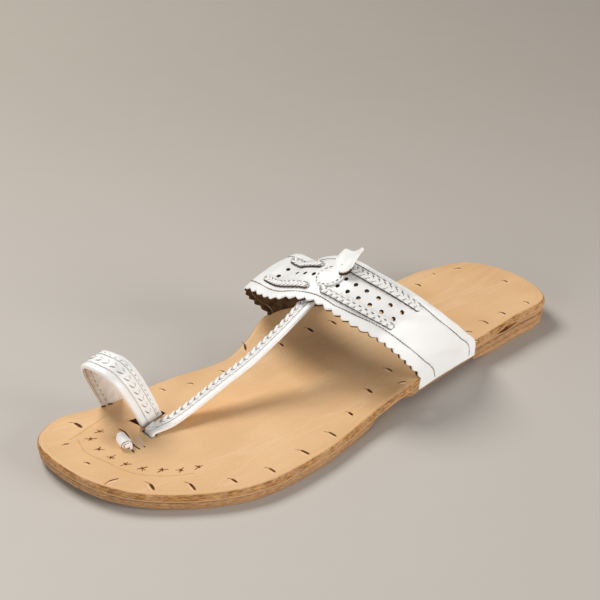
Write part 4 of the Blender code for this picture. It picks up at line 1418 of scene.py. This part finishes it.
def strandRows(path, pitch, halfWide, low, size, lean, first, last, depths=(1.0, 1.0)):
    # two rows of strands that meet in a herring bone: each is a spindle turned by the lean
    count = max(int(round((last - first) / pitch)), 2)
    where = first + (np.arange(count) + 0.5) * (last - first) / count
    parts = []
    creases = []
    for sign, depth in zip((-1.0, 1.0), depths):
        distance = where + (0.25 * pitch if sign > 0 else -0.25 * pitch)
        spot, forward, side, out = onPath(path, distance, sign * halfWide * plait["rowAt"], low)
        turn = sign * lean
        along = forward * np.cos(turn) + side * np.sin(turn)
        across = np.cross(out, along)
        points, faces, crease = spindleMesh(spot, along, across, out, size, 9, 10, 0.42)
        parts.append((points, faces))
        # the crease value, weighed by the row's depth, sets the painted shade at each strand's foot
        creases.append(crease * depth)
    points, faces = joined(parts)
    return points, faces, np.concatenate(creases)


def ribbonLoops(path, sections):
    # a closed section of (sideways, height) points carried along a path
    sideways, height = np.asarray(sections)[..., 0], np.asarray(sections)[..., 1]
    stations = len(path["line"])
    sideways = np.broadcast_to(sideways, (stations, sideways.shape[-1]))
    height = np.broadcast_to(height, (stations, height.shape[-1]))
    return (
        path["line"][:, None]
        + path["side"][:, None] * sideways[..., None]
        + path["out"][:, None] * height[..., None]
    )


def roundedSection(halfWide, low, high, corner=0.0005, top=9):
    # a flat section with rounded upper corners, as a loop that starts and ends at the
    # middle of one side
    across = np.linspace(-1.0, 1.0, top)
    crown = 1.0 - np.abs(across) ** 4
    upper = np.stack([across * halfWide, high - corner * (1.0 - crown)], axis=1)
    lower = np.stack([across[::-1] * (halfWide - 0.1 * corner), np.full(top, low)], axis=1)
    return np.concatenate([upper, lower])


plait = {
    "gap": 0.0003,
    # the bed below the strands, grey as painted shade in the gaps between them: share of the width,
    # how deep it starts and how high it stands
    "bed": (0.80, 0.0004, 0.00008),
    "endRoom": 0.0012,
    "rowAt": 0.48,
    # the painted shadow edge: room at both ends, depth of its scallops, height over the strap
    "edgeRoom": 0.0003,
    "scallop": 0.00030,
    "edgeLevel": 0.0005,
    "width": 0.0044,
    "thickness": 0.0010,
    "pitch": 0.0030,
    "fine": 0.8,
    # how dark the painted shade at the strand feet is in the front and the back row
    "depths": (1.0, 0.62),
    "lean": np.radians(36.0),
    # half length, half width and half height of a strand, for the full width
    "strand": (0.00225, 0.00090, 0.00028),
    "threadPitch": 0.0029,
    "thread": (0.00085, 0.00020, 0.00014),
    # over the foot from and to, share of the strap's width there, share of the full width,
    # radius of the painted shadow edge below it
    "places": {
        "outer_back": (0.275, 0.492, 0.81, 0.78, 0.94, 0.00017),
        "outer_front": (0.268, 0.508, 0.291, 0.230, 0.66, 0.00016),
        "inner_back": (0.578, 0.736, 0.70, 0.80, 0.80, 0.00027),
        "inner_front": (0.552, 0.740, 0.245, 0.290, 0.70, 0.00027),
    },
}


def plaitPath(title, count=60):
    # a plait's line on the strap, half its width and its painted shadow edge's radius
    overStart, overEnd, acrossStart, acrossEnd, wide, dark = plait["places"][title]
    share = np.linspace(0.0, 1.0, count)
    over = overStart + (overEnd - overStart) * share
    across = acrossStart + (acrossEnd - acrossStart) * share
    return strapPath(over, across, count), 0.5 * wide * plait["width"], dark


def tipShare(distance, length, half):
    # a strip's width near its ends: sqrt(1 - (1 - distance to the end / half)^2)
    fromEnd = np.minimum(distance, length - distance) / half
    return np.sqrt(np.clip(1.0 - (1.0 - fromEnd).clip(0.0) ** 2, 0.02, 1.0))


def stripLoops(path, half, low, high, corner):
    # a strip with rounded corners, whose ends narrow as half of an ellipse
    tip = tipShare(path["run"], path["run"][-1], half)
    section = roundedSection(1.0, 0.0, 1.0, corner)
    sections = np.empty((len(path["line"]), len(section), 2))
    sections[..., 0] = section[None, :, 0] * half * tip[:, None]
    sections[..., 1] = low + section[None, :, 1] * (high - low)
    return ribbonLoops(path, sections)


def makePlaits():
    # each plait is a strip, a dark bed on it as painted shade, and two rows of strands; below
    # its front side runs a painted shadow line with a scallop, the size of a sine, for each strand
    edges = []
    for title in plait["places"]:
        path, half, dark = plaitPath(title)
        length = path["run"][-1]
        level = plait["gap"] + plait["thickness"]
        ground = closedStrip(stripLoops(path, half, plait["gap"], level, 0.4))
        share, deep, high = plait["bed"]
        bed = closedStrip(stripLoops(path, half * share, level - deep, level + high, 0.1))
        fine = plait["fine"] if title.startswith("inner") else 1.0
        size = np.array(plait["strand"]) * np.array([half / 0.0022, fine, fine])
        pitch = plait["pitch"] * fine
        strands = strandRows(
            path, pitch, half, level + 0.0001, size, plait["lean"],
            plait["endRoom"], length - plait["endRoom"], plait["depths"],
        )
        points, faces = joined([ground, bed, strands[:2]])
        crease = np.concatenate([np.zeros(len(ground[0]) + len(bed[0])), strands[2]])
        lookOf = np.zeros(len(faces), int)
        lookOf[len(ground[1]) : len(ground[1]) + len(bed[1])] = 1
        name = "plait" + title.replace("_", " ").title().replace(" ", "")
        # the bed takes the grey finish: painted shade between the strands
        twoLooks = [looks["plait"], looks["groove"]]
        piece = makePiece(name, points, faces, twoLooks, lookOf, {"crease": crease})
        settle(piece, "white_braid_leather", "braid_" + title)
        # painted shadow: a dark cord under the plait's front side
        distance = np.linspace(plait["edgeRoom"], length - plait["edgeRoom"], 200)
        ripple = plait["scallop"] * np.abs(np.sin(np.pi * distance / pitch))
        tip = tipShare(distance, length, half)
        aside = -half * tip - ripple * tip
        edges.append(cordAlong(path, distance, aside, plait["edgeLevel"], dark, dark * 1.6))
    addPiece("plaitShadowEdge", joined(edges), "shadow", "white_braid_leather")


makePlaits()
print("plaits made")


def dashes(path, pitch, half, sideways, height, first=0.0, last=None):
    # short threads in a row along a path
    last = path["run"][-1] if last is None else last
    count = int((last - first) / pitch)
    distance = first + (np.arange(count) + 0.5) * pitch
    return spindleMesh(*onPath(path, distance, sideways, height), half, 5, 6)[:2]


def makeSeams():
    # threads and knots in both troughs, a row of threads on each plait, the lining's seam
    parts = []
    over = np.linspace(0.004, 0.996, 300)
    pitch = strap["threadPitch"]
    for title in ("frontSeam", "backSeam"):
        path = strapPath(over, seamAt(title, over), 400)
        parts.append(dashes(path, pitch, strap["thread"], 0.0, -0.00008, 0.001))
        parts.append(dashes(path, pitch, strap["threadKnot"], 0.0, -0.00008, -0.0007))
    level = plait["gap"] + plait["thickness"] + 0.00030
    for title in plait["places"]:
        path, half, _ = plaitPath(title)
        last = path["run"][-1] - 0.001
        row = dashes(path, plait["threadPitch"], plait["thread"], half * 0.55, level, 0.001, last)
        parts.append(row)
    addPiece("strapThreads", joined(parts), "thread", "white_strap_leather")
    path = strapPath(over, strap["liningSeam"], 300)
    lower = -strap["wall"] - 0.00005
    seam = cordAlong(path, path["run"], 0.0, lower, 0.00022, 0.00016)
    addPiece("liningSeam", seam, "liningSeam", "white_strap_leather")


makeSeams()
print("seams made")

# disc and leaf in the strap's middle

disc = {
    "place": (0.5185, 0.505),
    "width": 0.0132,
    "thickness": 0.0010,
    "shown": 0.0007,
    "dome": 0.0004,
    "seam": 0.88,
    # share of the radius, share of the dome above the face or of the wall below it
    "profile": [
        (0.0, 1.0), (0.2, 0.98), (0.4, 0.92), (0.6, 0.78), (0.74, 0.62), (0.8, 0.5),
        (0.84, 0.38), (0.88, 0.42), (0.94, 0.34), (0.98, 0.1), (1.0, -0.35), (1.0, -0.9),
        (0.97, -1.0), (0.5, -1.0), (0.0, -1.0),
    ],
}
leaf = {
    "place": (0.516, 0.655),
    "turn": np.radians(33.0),
    "onDome": 0.6,
    "lopsided": 1.5,
    "length": 0.0138,
    "width": 0.0122,
    "thickness": 0.0012,
    "rise": 0.0056,
    "rows": 34,
    "columns": 17,
    # how far its sides are lower, how far its face waves, how much thinner its sides are
    "sag": 0.0006,
    "wave": 0.00025,
    "thinner": 0.35,
    # row and column of the pinhole, and its half sizes
    "pinhole": (6, 9),
    "pinholeHalf": (0.0004, 0.0003, 0.00012),
    # the dark edge, partly cut edge and partly painted shadow under it: scallops out from the
    # side, depth below the face, half sizes
    "scallop": (0.0001, 0.0003),
    "edgeBelow": 0.0003,
    "edgeHalf": (0.0004, 0.0006),
    # share of the length, share of the width
    "outline": [
        (0.0, 0.62), (0.2, 0.92), (0.38, 1.0), (0.5, 0.86),
        (0.62, 0.62), (0.75, 0.38), (0.88, 0.17), (1.0, 0.01),
    ],
}


def discSpot(radius, angle):
    # share over the foot and across the strap at a polar place on the disc, in metres
    over, across = disc["place"]
    right = np.cos(angle) * radius / strapRun(across)
    back = np.sin(angle) * radius / strapWidth(np.array([over]))[0]
    return over + right, across + back


def makeDisc():
    # rings from the middle of the face over the edge to the middle of the underside, with
    # soft folds round it, and threads along most of its edge
    radius = 0.5 * disc["width"]
    angle = np.arange(64) * 2.0 * np.pi / 64
    rows = []
    for share, level in disc["profile"]:
        over, across = discSpot(share * radius, angle)
        fold = 0.0001 * np.sin(5.0 * angle + 1.0) * share * (level > 0.0)
        if level >= 0.0:
            height = plait["gap"] + disc["shown"] + disc["dome"] * level + fold
        else:
            height = plait["gap"] + disc["shown"] * (1.0 + level) + 0.0 * angle
        rows.append(strapLift(over, across, height))
    rows = np.array(rows)
    face = rows, quadGrid(*rows.shape[:2], closed=True)
    addPiece("centreDiscLeather", face, "white", "white_strap_leather", "centre_disc")
    turn = np.linspace(np.radians(-200.0), np.radians(60.0), 120)
    over, across = discSpot(disc["seam"] * radius, turn)
    path = strapPath(over, across, 160)
    level = plait["gap"] + disc["shown"] + disc["dome"] * 0.42
    threads = dashes(path, 0.0022, (0.00080, 0.00026, 0.00018), 0.0, level)
    addPiece("discThreads", threads, "thread", "white_strap_leather")


def makeLeaf():
    # a tapered sheet that rises with the square of the distance from its foot. Its sides
    # sag by a parabola, and near the foot one side is wider than the other
    over, across = (np.array([value]) for value in leaf["place"])
    root = strapPoint(over, across)[0]
    out = strapOut(over, across)[0]
    straight = unit(strapPoint(over, across + 0.01)[0] - strapPoint(over, across - 0.01)[0])
    outward = np.cross(straight, out)
    back = straight * np.cos(leaf["turn"]) + outward * np.sin(leaf["turn"])
    side = np.cross(back, out)
    under = disc["thickness"] + leaf["onDome"] * disc["dome"] + plait["gap"]
    share = np.linspace(0.0, 1.0, leaf["rows"])
    table = np.array(leaf["outline"])
    smoothed = throughPoints(table, np.linspace(0.0, len(table) - 1.0, 200))
    width = 0.5 * leaf["width"] * np.interp(share, smoothed[:, 0], smoothed[:, 1])
    rise = plait["gap"] + under + leaf["rise"] * share**2
    middle = root + back * (leaf["length"] * share)[:, None] + out * rise[:, None]
    forward = unit(np.gradient(middle, axis=0))
    up = np.cross(side, forward)
    columns = np.linspace(-1.0, 1.0, leaf["columns"])
    thick = leaf["thickness"] * (1.0 - leaf["thinner"] * np.abs(columns) ** 6)
    down = share[:, None]
    sag = leaf["sag"] * columns**2 * ease(down, 0.1, 0.5)
    sag = sag + leaf["wave"] * np.sin(columns * 4.0 + down * 5.0) * ease(down, 0.1, 0.6)
    wider = 1.0 + (leaf["lopsided"] - 1.0) * (columns < 0.0) * (1.0 - ease(down, 0.35, 0.8))
    sideways = width[:, None] * columns * wider
    lower = middle[:, None] + side * sideways[..., None] + out * sag[..., None]
    upper = lower + up[:, None] * thick[None, :, None]
    loops = np.concatenate([upper, lower[:, ::-1]], axis=1)
    piece = sweptLoop("leafTabLeather", loops, [looks["white"]])
    settle(piece, "white_strap_leather", "leaf_tab")
    row, column = leaf["pinhole"]
    there = slice(row, row + 1)
    spot = upper[there, column]
    hole = spindleMesh(spot, forward[there], side[None], up[there], leaf["pinholeHalf"])
    addPiece("leafPinhole", hole[:2], "thread", "white_strap_leather")
    # a dark brown line under the leaf's outer side, in small scallops: partly its cut edge,
    # partly painted shadow
    t = np.linspace(0.0, 15.0, 90)
    rows = np.arange(leaf["rows"])
    line = np.stack([np.interp(t, rows, lower[:, -1, k]) for k in range(3)], axis=1)
    least, more = leaf["scallop"]
    scallops = side * (least + more * np.abs(np.sin(t * 0.9)))[:, None]
    line = line + scallops - out * leaf["edgeBelow"]
    flat, high = (np.repeat(one[None], len(t), axis=0) for one in (side, out))
    edge = tubeMesh(line, flat, high, *leaf["edgeHalf"])
    addPiece("leafFootEdge", edge, "liningAndShade", "white_strap_leather")


makeDisc()
makeLeaf()
print("disc and leaf made")

# the centre strap


def commaMarks(path, where, marksAt, offset, lift):
    # small curved marks in the face of a band. Each arm bends as a parabola from its tip to
    # the foot of the mark and is thickest at two thirds of it
    parts = []
    share = np.linspace(0.0, 1.0, 11)
    for tipAlong, tipAcross, bend, radius in marksAt:
        along = tipAlong * (1.0 - share) + bend * 4.0 * share * (1.0 - share)
        across = tipAcross * (1.0 - share)
        thick = radius * np.sin(np.pi * np.clip(share, 0.03, 0.97) ** 1.4) ** 0.7
        thick = thick[:, None, None]
        for one in where:
            spot = (one + along, offset + across, lift)
            parts.append(cordAlong(path, *spot, thick, thick * 0.6, 6))
    return joined(parts)


def centrePath():
    # from the slit at the toe up to the underside of the instep strap
    overs = np.linspace(0.35, 0.7, 80)
    over = np.interp(centre["top"] * halfWidth(0.5), strapPoint(overs, 0.0)[:, 0], overs)
    under = np.linspace(centre["under"][0], centre["under"][1], 4)
    hidden = strapLift(over, under, -(strap["wall"] + ring["room"]))
    startAlong = centre["rows"][0][0]
    startX = centre["toe"] * halfWidth(startAlong)
    rows = []
    for along, up in centre["rows"]:
        share = (along - startAlong) / (alongOf(hidden[0, 1]) - startAlong)
        x = startX + (hidden[0, 0] - startX) * share
        y = yOf(along)
        rows.append((x, y, insoleTop(x, y) + up * strap["instep"]))
    mouth = np.array(rows[0])
    end = mouth + np.array([0.0, 0.3 * centre["thickness"], 0.0])
    end[2] = outsoleTop(mouth[0], mouth[1]) + 2.0 * sole["gap"]
    throat = np.array([end[0], end[1], 0.5 * (end[2] + mouth[2])])
    points = np.array([end, throat, *rows[1:], *hidden])
    line = throughPoints(points, np.linspace(0.0, len(points) - 1.0, 600))
    line = evenly(line, centre["stations"])
    run = runAlong(line)
    forward = unit(np.gradient(line, axis=0))
    side = unit(np.cross((0.0, 0.0, 1.0), forward))
    settled = int(np.searchsorted(run, 0.0126))
    side[:settled] = side[settled]
    tilt = centre["tilt"] * ease(run, 0.0063, 0.0252)
    tilt = tilt * (1.0 - ease(run, run[-1] - 0.0252, run[-1] - 0.0126))
    upright = unit(np.cross(forward, side))
    side = side * np.cos(tilt)[:, None] - upright * np.sin(tilt)[:, None]
    out = unit(np.cross(forward, side))
    return {"line": line, "forward": forward, "side": side, "out": out, "run": run}


def makeCentreStrap():
    # a plain rim on the outer part, a dark split, and a lower ground under the plait, all as
    # a section whose width and height shrink toward the slit
    path = centrePath()
    half = 0.5 * centre["width"]
    split = centre["split"] * centre["width"]
    thick = centre["thickness"]
    section = [(share * half, level * thick) for share, level in centre["rim"]]
    section += [(split + inward, level) for inward, level in centre["splitGround"]]
    section += [(share * half, level) for share, level in centre["ground"]]
    section += [(share * half, -thick) for share in centre["underside"]]
    narrow = centre["lowWidth"]
    low = narrow + (1.0 - narrow) * ease(path["run"], *centre["widenOver"])
    sections = np.array(section)[None] * np.stack([low, 0.5 + 0.5 * low], axis=1)[:, None]
    band = closedStrip(ribbonLoops(path, sections))
    middle = 0.5 * (split + centre["plaitIn"] + half)
    wide = 0.5 * (half - split - centre["plaitIn"])
    plaitLine = {**path, "line": path["line"] + path["side"] * middle}
    pitch = centre["strandPitch"]
    last = path["run"][-1]
    first, room = centre["plaitEnds"]
    strands = strandRows(
        plaitLine, pitch, wide, centre["plaitLevel"], centre["strand"], centre["lean"],
        first, last - room,
    )
    points, faces = joined([band, strands[:2]])
    # painted shade: the strands' crease values, raised by a third, darken their feet
    crease = np.concatenate([np.zeros(len(band[0])), strands[2] * 1.3])
    look = [looks["plait"]]
    piece = makePiece("centreStrapLeather", points, faces, look, None, {"crease": crease})
    settle(piece, "white_strap_leather", "centre_strap")
    where = np.arange(centre["chevronEnds"][0], last - centre["chevronEnds"][1], pitch)
    chevrons = commaMarks(plaitLine, where, centre["chevron"], 0.0, centre["chevronLevel"])
    addPiece("centreChevrons", chevrons, "threadBrown", "white_strap_leather")
    spots = np.linspace(first, last - room, 160)
    inward, level, *halves = centre["splitLine"]
    dark = cordAlong(path, spots, split + inward, level, *halves)
    addPiece("centreSplit", dark, "mark", "white_strap_leather")


makeCentreStrap()
print("centre strap made")

# the toe ring


def ringLine(across, count):
    # the arch is a superellipse between the feet that leans to the toe: width goes with
    # cos^power and height with sin^power of the angle
    outer, inner = ringFeet(across)
    angle = np.linspace(0.0, np.pi, 241)
    turn = np.cos(angle)
    wide = 0.5 * (1.0 - np.sign(turn) * np.abs(turn) ** ring["power"])
    high = np.abs(np.sin(angle)) ** ring["power"]
    lean = np.array([0.0, ring["lean"], ring["height"] + ring["backRise"] * across])
    arch = evenly(outer + (inner - outer) * wide[:, None] + lean * high[:, None], 241)
    legs = []
    for foot in (outer, inner):
        legs.append(np.array([foot[0], foot[1], outsoleTop(foot[0], foot[1]) + sole["gap"]]))
    return evenly(np.concatenate([legs[:1], arch, legs[1:]]), count)


def makeRing():
    # the band between its two faces, whose outer face is raised by the listed relief, with
    # pressed petals and commas, grooves, and stitches outside and inside
    shares = np.array(ring["shares"])
    shares = np.concatenate([shares, [0.5], 1.0 - shares[::-1]])
    relief = np.interp(shares, *np.array(ring["relief"]).T) * 0.001
    face = np.stack([ringLine(across, ring["stations"]) for across in shares], axis=1)
    along = np.gradient(face, axis=0)
    back = unit(face[:, -1:] - face[:, :1])
    out = unit(np.cross(np.broadcast_to(back, face.shape), along))
    outer = face + out * relief[None, :, None]
    inner = face - out * ring["wall"]
    band = closedStrip(np.concatenate([outer, inner[:, ::-1]], axis=1))
    around = 2 * len(shares)
    lookOf = np.zeros(around, int)
    lookOf[len(shares) : -1] = 1
    half = len(shares) // 2
    middle = {"line": face[:, half], "forward": unit(along[:, half]), "side": back[:, 0]}
    middle["out"] = out[:, half]
    middle["run"] = runAlong(middle["line"])
    last = middle["run"][-1]
    wide = lengthOf(face[:, -1] - face[:, 0])[:, 0].mean()
    where = np.arange(ring["firstMark"], last - ring["lastMark"], ring["strandPitch"])
    behind, level = ring["petalAt"]
    pressed = onPath(middle, where + behind, 0.0, level)
    petals = spindleMesh(*pressed, ring["petal"], 9, 10, 0.6)
    rest = np.zeros(2 + len(petals[1]), int)
    lookOf = np.concatenate([np.tile(lookOf, ring["stations"] - 1), rest])
    points, faces = joined([band, petals[:2]])
    # the inner face takes the grey finish: painted shade
    twoLooks = [looks["white"], looks["ringInnerShade"]]
    values = {"crease": np.zeros(len(points))}
    piece = makePiece("toeRingLeather", points, faces, twoLooks, lookOf, values)
    settle(piece, "white_strap_leather", "toe_ring")
    strong, faint = (
        commaMarks(middle, where, [ring[title]], *ring["commaAt"]) for title in ("comma", "faint")
    )
    addPiece("ringCommas", strong, "thread", "white_strap_leather")
    lines = [faint]
    spots = np.linspace(0.004, last - 0.004, 300)
    for sideways, thick in ring["grooves"]:
        lines.append(cordAlong(middle, spots, sideways * wide, -0.00006, thick, thick))
    # inside the ring one plain line and one row of stitches
    lower = -ring["wall"] - 0.00002
    spots = np.linspace(0.5 * last, last - 0.006, 160)
    lines.append(cordAlong(middle, spots, -0.36 * wide, lower, 0.00014, 0.00010))
    addPiece("ringGrooves", joined(lines), "groove", "white_strap_leather")
    stitches = [
        dashes(middle, 0.0030, ring["stitch"], 0.33 * wide, 0.00004, 0.004),
        dashes(middle, 0.0032, ring["innerStitch"], -0.17 * wide, lower, 0.5 * last),
    ]
    addPiece("ringThreads", joined(stitches), "thread", "white_strap_leather")


makeRing()
print("toe ring made")

# the rolled strap end


def makeKnot():
    # a spiral whose radius falls by one wall a turn, carried across, with a tail that goes
    # down its slit
    spot, straight, toward = knotFrame()
    level = insoleTop(spot[0], spot[1])
    pitch = knot["wall"] + sole["gap"]
    start = knot["radius"] - 0.5 * knot["wall"]
    turns = (start - 1.1 * knot["wall"]) / pitch
    angle = np.linspace(0.0, 2.0 * np.pi * turns, 70)
    radius = start - pitch * angle / (2.0 * np.pi)
    middleHeight = level + sole["gap"] + knot["squash"] * knot["radius"]
    forward = start - radius * np.cos(angle)
    height = middleHeight + knot["squash"] * radius * np.sin(angle)
    tailEnd = outsoleTop(spot[0], spot[1]) + sole["gap"]
    tail = np.stack([np.zeros(12), np.linspace(tailEnd, middleHeight, 13)[:-1]], axis=1)
    line = np.concatenate([tail, np.stack([forward, height], axis=1)])
    direction = unit(np.gradient(line, axis=0))
    outward = np.stack([-direction[:, 1], direction[:, 0]], axis=1)
    columns = np.linspace(-0.5, 0.5, 13)
    loops = []
    for offset, order in ((0.5 * knot["wall"], 1), (-0.5 * knot["wall"], -1)):
        section = line + outward * offset
        middle = spot + section[:, :1] * toward + section[:, 1:] * np.array([0.0, 0.0, 1.0])
        strip = middle[:, None] + straight * (columns * knot["width"])[None, :, None]
        loops.append(strip[:, ::order])
    roll = closedStrip(np.concatenate(loops, axis=1))
    # the roll's outer face, rounded off at both ends: radius = (1 - |share|^4)^(1/2)
    heart = spot + toward * start + np.array([0.0, 0.0, middleHeight])
    shares = np.sin(np.linspace(-0.5 * np.pi, 0.5 * np.pi, knot["rows"]))
    turn = np.arange(knot["sides"]) * 2.0 * np.pi / knot["sides"]
    full = np.sqrt(np.clip(1.0 - np.abs(shares) ** 4, 1e-4, 1.0)) * (1.0 - knot["taper"] * shares)
    fold = 1.0
    for at, wide, depth in knot["creases"]:
        fold = fold - depth * bell(turn, at, wide)
    size = knot["radius"] * knot["fuller"] * full[:, None] * fold[None, :]
    dome = heart + straight * (shares * knot["reach"] * knot["width"])[:, None, None]
    dome = dome + toward * (size * np.cos(turn))[..., None] * knot["deeper"]
    dome = dome + np.array([0.0, 0.0, 1.0]) * (size * np.sin(turn))[..., None] * knot["squash"]
    whole = joined([roll, closedStrip(dome)])
    addPiece("toeKnotRoll", whole, "white", "white_strap_leather", "toe_knot")
    arcs = []
    for reach, first, last in knot["folds"]:
        angle = np.linspace(first, last, 24)[:, None]
        at = -((1.0 - reach**2) ** 0.25) * knot["reach"] * knot["width"] - 0.00004
        bow = toward * np.cos(angle) * knot["deeper"]
        bow = bow + np.array([0.0, 0.0, knot["squash"]]) * np.sin(angle)
        line = heart + straight * at + bow * (reach * knot["foldRadius"] * knot["radius"])
        flat = np.repeat(straight[None], 24, axis=0)
        across = unit(np.cross(np.gradient(line, axis=0), flat))
        arcs.append(tubeMesh(line, flat, across, *knot["foldHalf"]))
    addPiece("knotFoldLines", joined(arcs), "star", "white_strap_leather")


makeKnot()
print("knot made")

# floor, light and camera

studio = {
    "azimuth": np.radians(-130.24),
    "elevation": np.radians(28.99),
    "distance": 0.7217,
    "lens": 85.03,
    "target": (0.06642, 0.05403, 0.0),
    "lit": (-0.005, 0.09, 0.01),
    "sky": (0.96, 0.955, 0.95),
    "skyStrength": 0.20,
    # name: to the image's right, away from the camera, up, size, power, colour
    "lights": {
        "keyLight": (-0.70, 0.62, 1.10, 0.7, 15.5, (1.0, 0.985, 0.96)),
        "sideLight": (1.25, -0.65, 0.34, 0.9, 15.0, (1.0, 0.99, 0.975)),
        "frontLight": (-0.80, -1.05, 0.30, 0.8, 7.0, (1.0, 0.985, 0.965)),
    },
}


def cameraFrame():
    # the image's right and up, and the direction back to the camera, from its two angles
    a, e = studio["azimuth"], studio["elevation"]
    back = np.array([np.sin(a) * np.cos(e), -np.cos(a) * np.cos(e), np.sin(e)])
    right = np.array([np.cos(a), np.sin(a), 0.0])
    return right, np.cross(back, right), back


def placeObject(thing, location, right, up, back):
    # puts a camera or lamp at a place, looking against its back direction
    rows = [[right[k], up[k], back[k], location[k]] for k in range(3)]
    thing.matrix_world = Matrix(rows + [[0.0, 0.0, 0.0, 1.0]])


def makeStudio():
    # the camera, round lamps turned to the sandal's middle, and an even sky
    scene = bpy.context.scene
    right, up, back = cameraFrame()
    target = np.array(studio["target"])
    camera = bpy.data.objects.new("camera", bpy.data.cameras.new("camera"))
    camera.data.lens = studio["lens"]
    camera.data.sensor_width = 36.0
    camera.data.clip_start = 0.02
    scene.collection.objects.link(camera)
    placeObject(camera, target + back * studio["distance"], right, up, back)
    scene.camera = camera
    away = unit(np.array([-back[0], -back[1], 0.0]))
    middle = np.array(studio["lit"])
    for name, (toRight, toBack, high, size, power, colour) in studio["lights"].items():
        data = bpy.data.lights.new(name, "AREA")
        data.shape = "DISK"
        data.size = size
        data.energy = power
        data.color = colour
        lamp = bpy.data.objects.new(name, data)
        scene.collection.objects.link(lamp)
        location = middle + right * toRight + away * toBack + np.array([0.0, 0.0, high])
        lampBack = unit(location - middle)
        lampRight = unit(np.cross((0.0, 0.0, 1.0), lampBack))
        placeObject(lamp, location, lampRight, np.cross(lampBack, lampRight), lampBack)
    world = bpy.data.worlds.new("studioAir")
    world.use_nodes = True
    sky = world.node_tree.nodes["Background"]
    sky.inputs["Color"].default_value = (*studio["sky"], 1.0)
    sky.inputs["Strength"].default_value = studio["skyStrength"]
    scene.world = world
    scene.view_settings.view_transform = "Standard"


def makeFloor():
    # a plain pale floor, faintly cloudy, with painted shade that darkens it away from the camera
    look, tree, shader = newLook("paleFloor", 0.62)
    tone = place(tree, "tone", Patches=5.0, Streaks=9.0, Stretch=1.0)
    fine = place(tree, "tone", Patches=60.0, Streaks=90.0, Stretch=1.0)
    share = math(tree, "MULTIPLY", tone.outputs["Patch"], 0.25)
    darker = tuple(value * 0.88 for value in tones["floor"])
    colour = mixColour(tree, share, tones["floor"], darker)
    # painted shade: the floor darkens to a deeper tone away from the camera
    back = cameraFrame()[2]
    spot = addNode(tree, "VectorMath")
    spot.operation = "DOT_PRODUCT"
    spot.inputs[1].default_value = (-back[0], -back[1], 0.0)
    tree.links.new(objectPlace(tree), spot.inputs[0])
    far = remap(tree, spot.outputs["Value"], -0.20, 0.35)
    colour = mixColour(tree, far, colour, tones["floorPaintedShade"])
    colour = mixColour(tree, math(tree, "MULTIPLY", fine.outputs["Patch"], 0.06), colour, darker)
    tree.links.new(colour, shader.inputs["Base Color"])
    line = np.linspace(-3.0, 3.0, 13)
    x, y = np.meshgrid(line, line, indexing="ij")
    points = np.stack([x, y, 0.0 * x], axis=-1)
    floor = makePiece("floor", points, quadGrid(13, 13), [look])
    if floor.data.polygons[0].normal.z < 0.0:
        floor.data.flip_normals()


makeStudio()
makeFloor()
print("studio made")
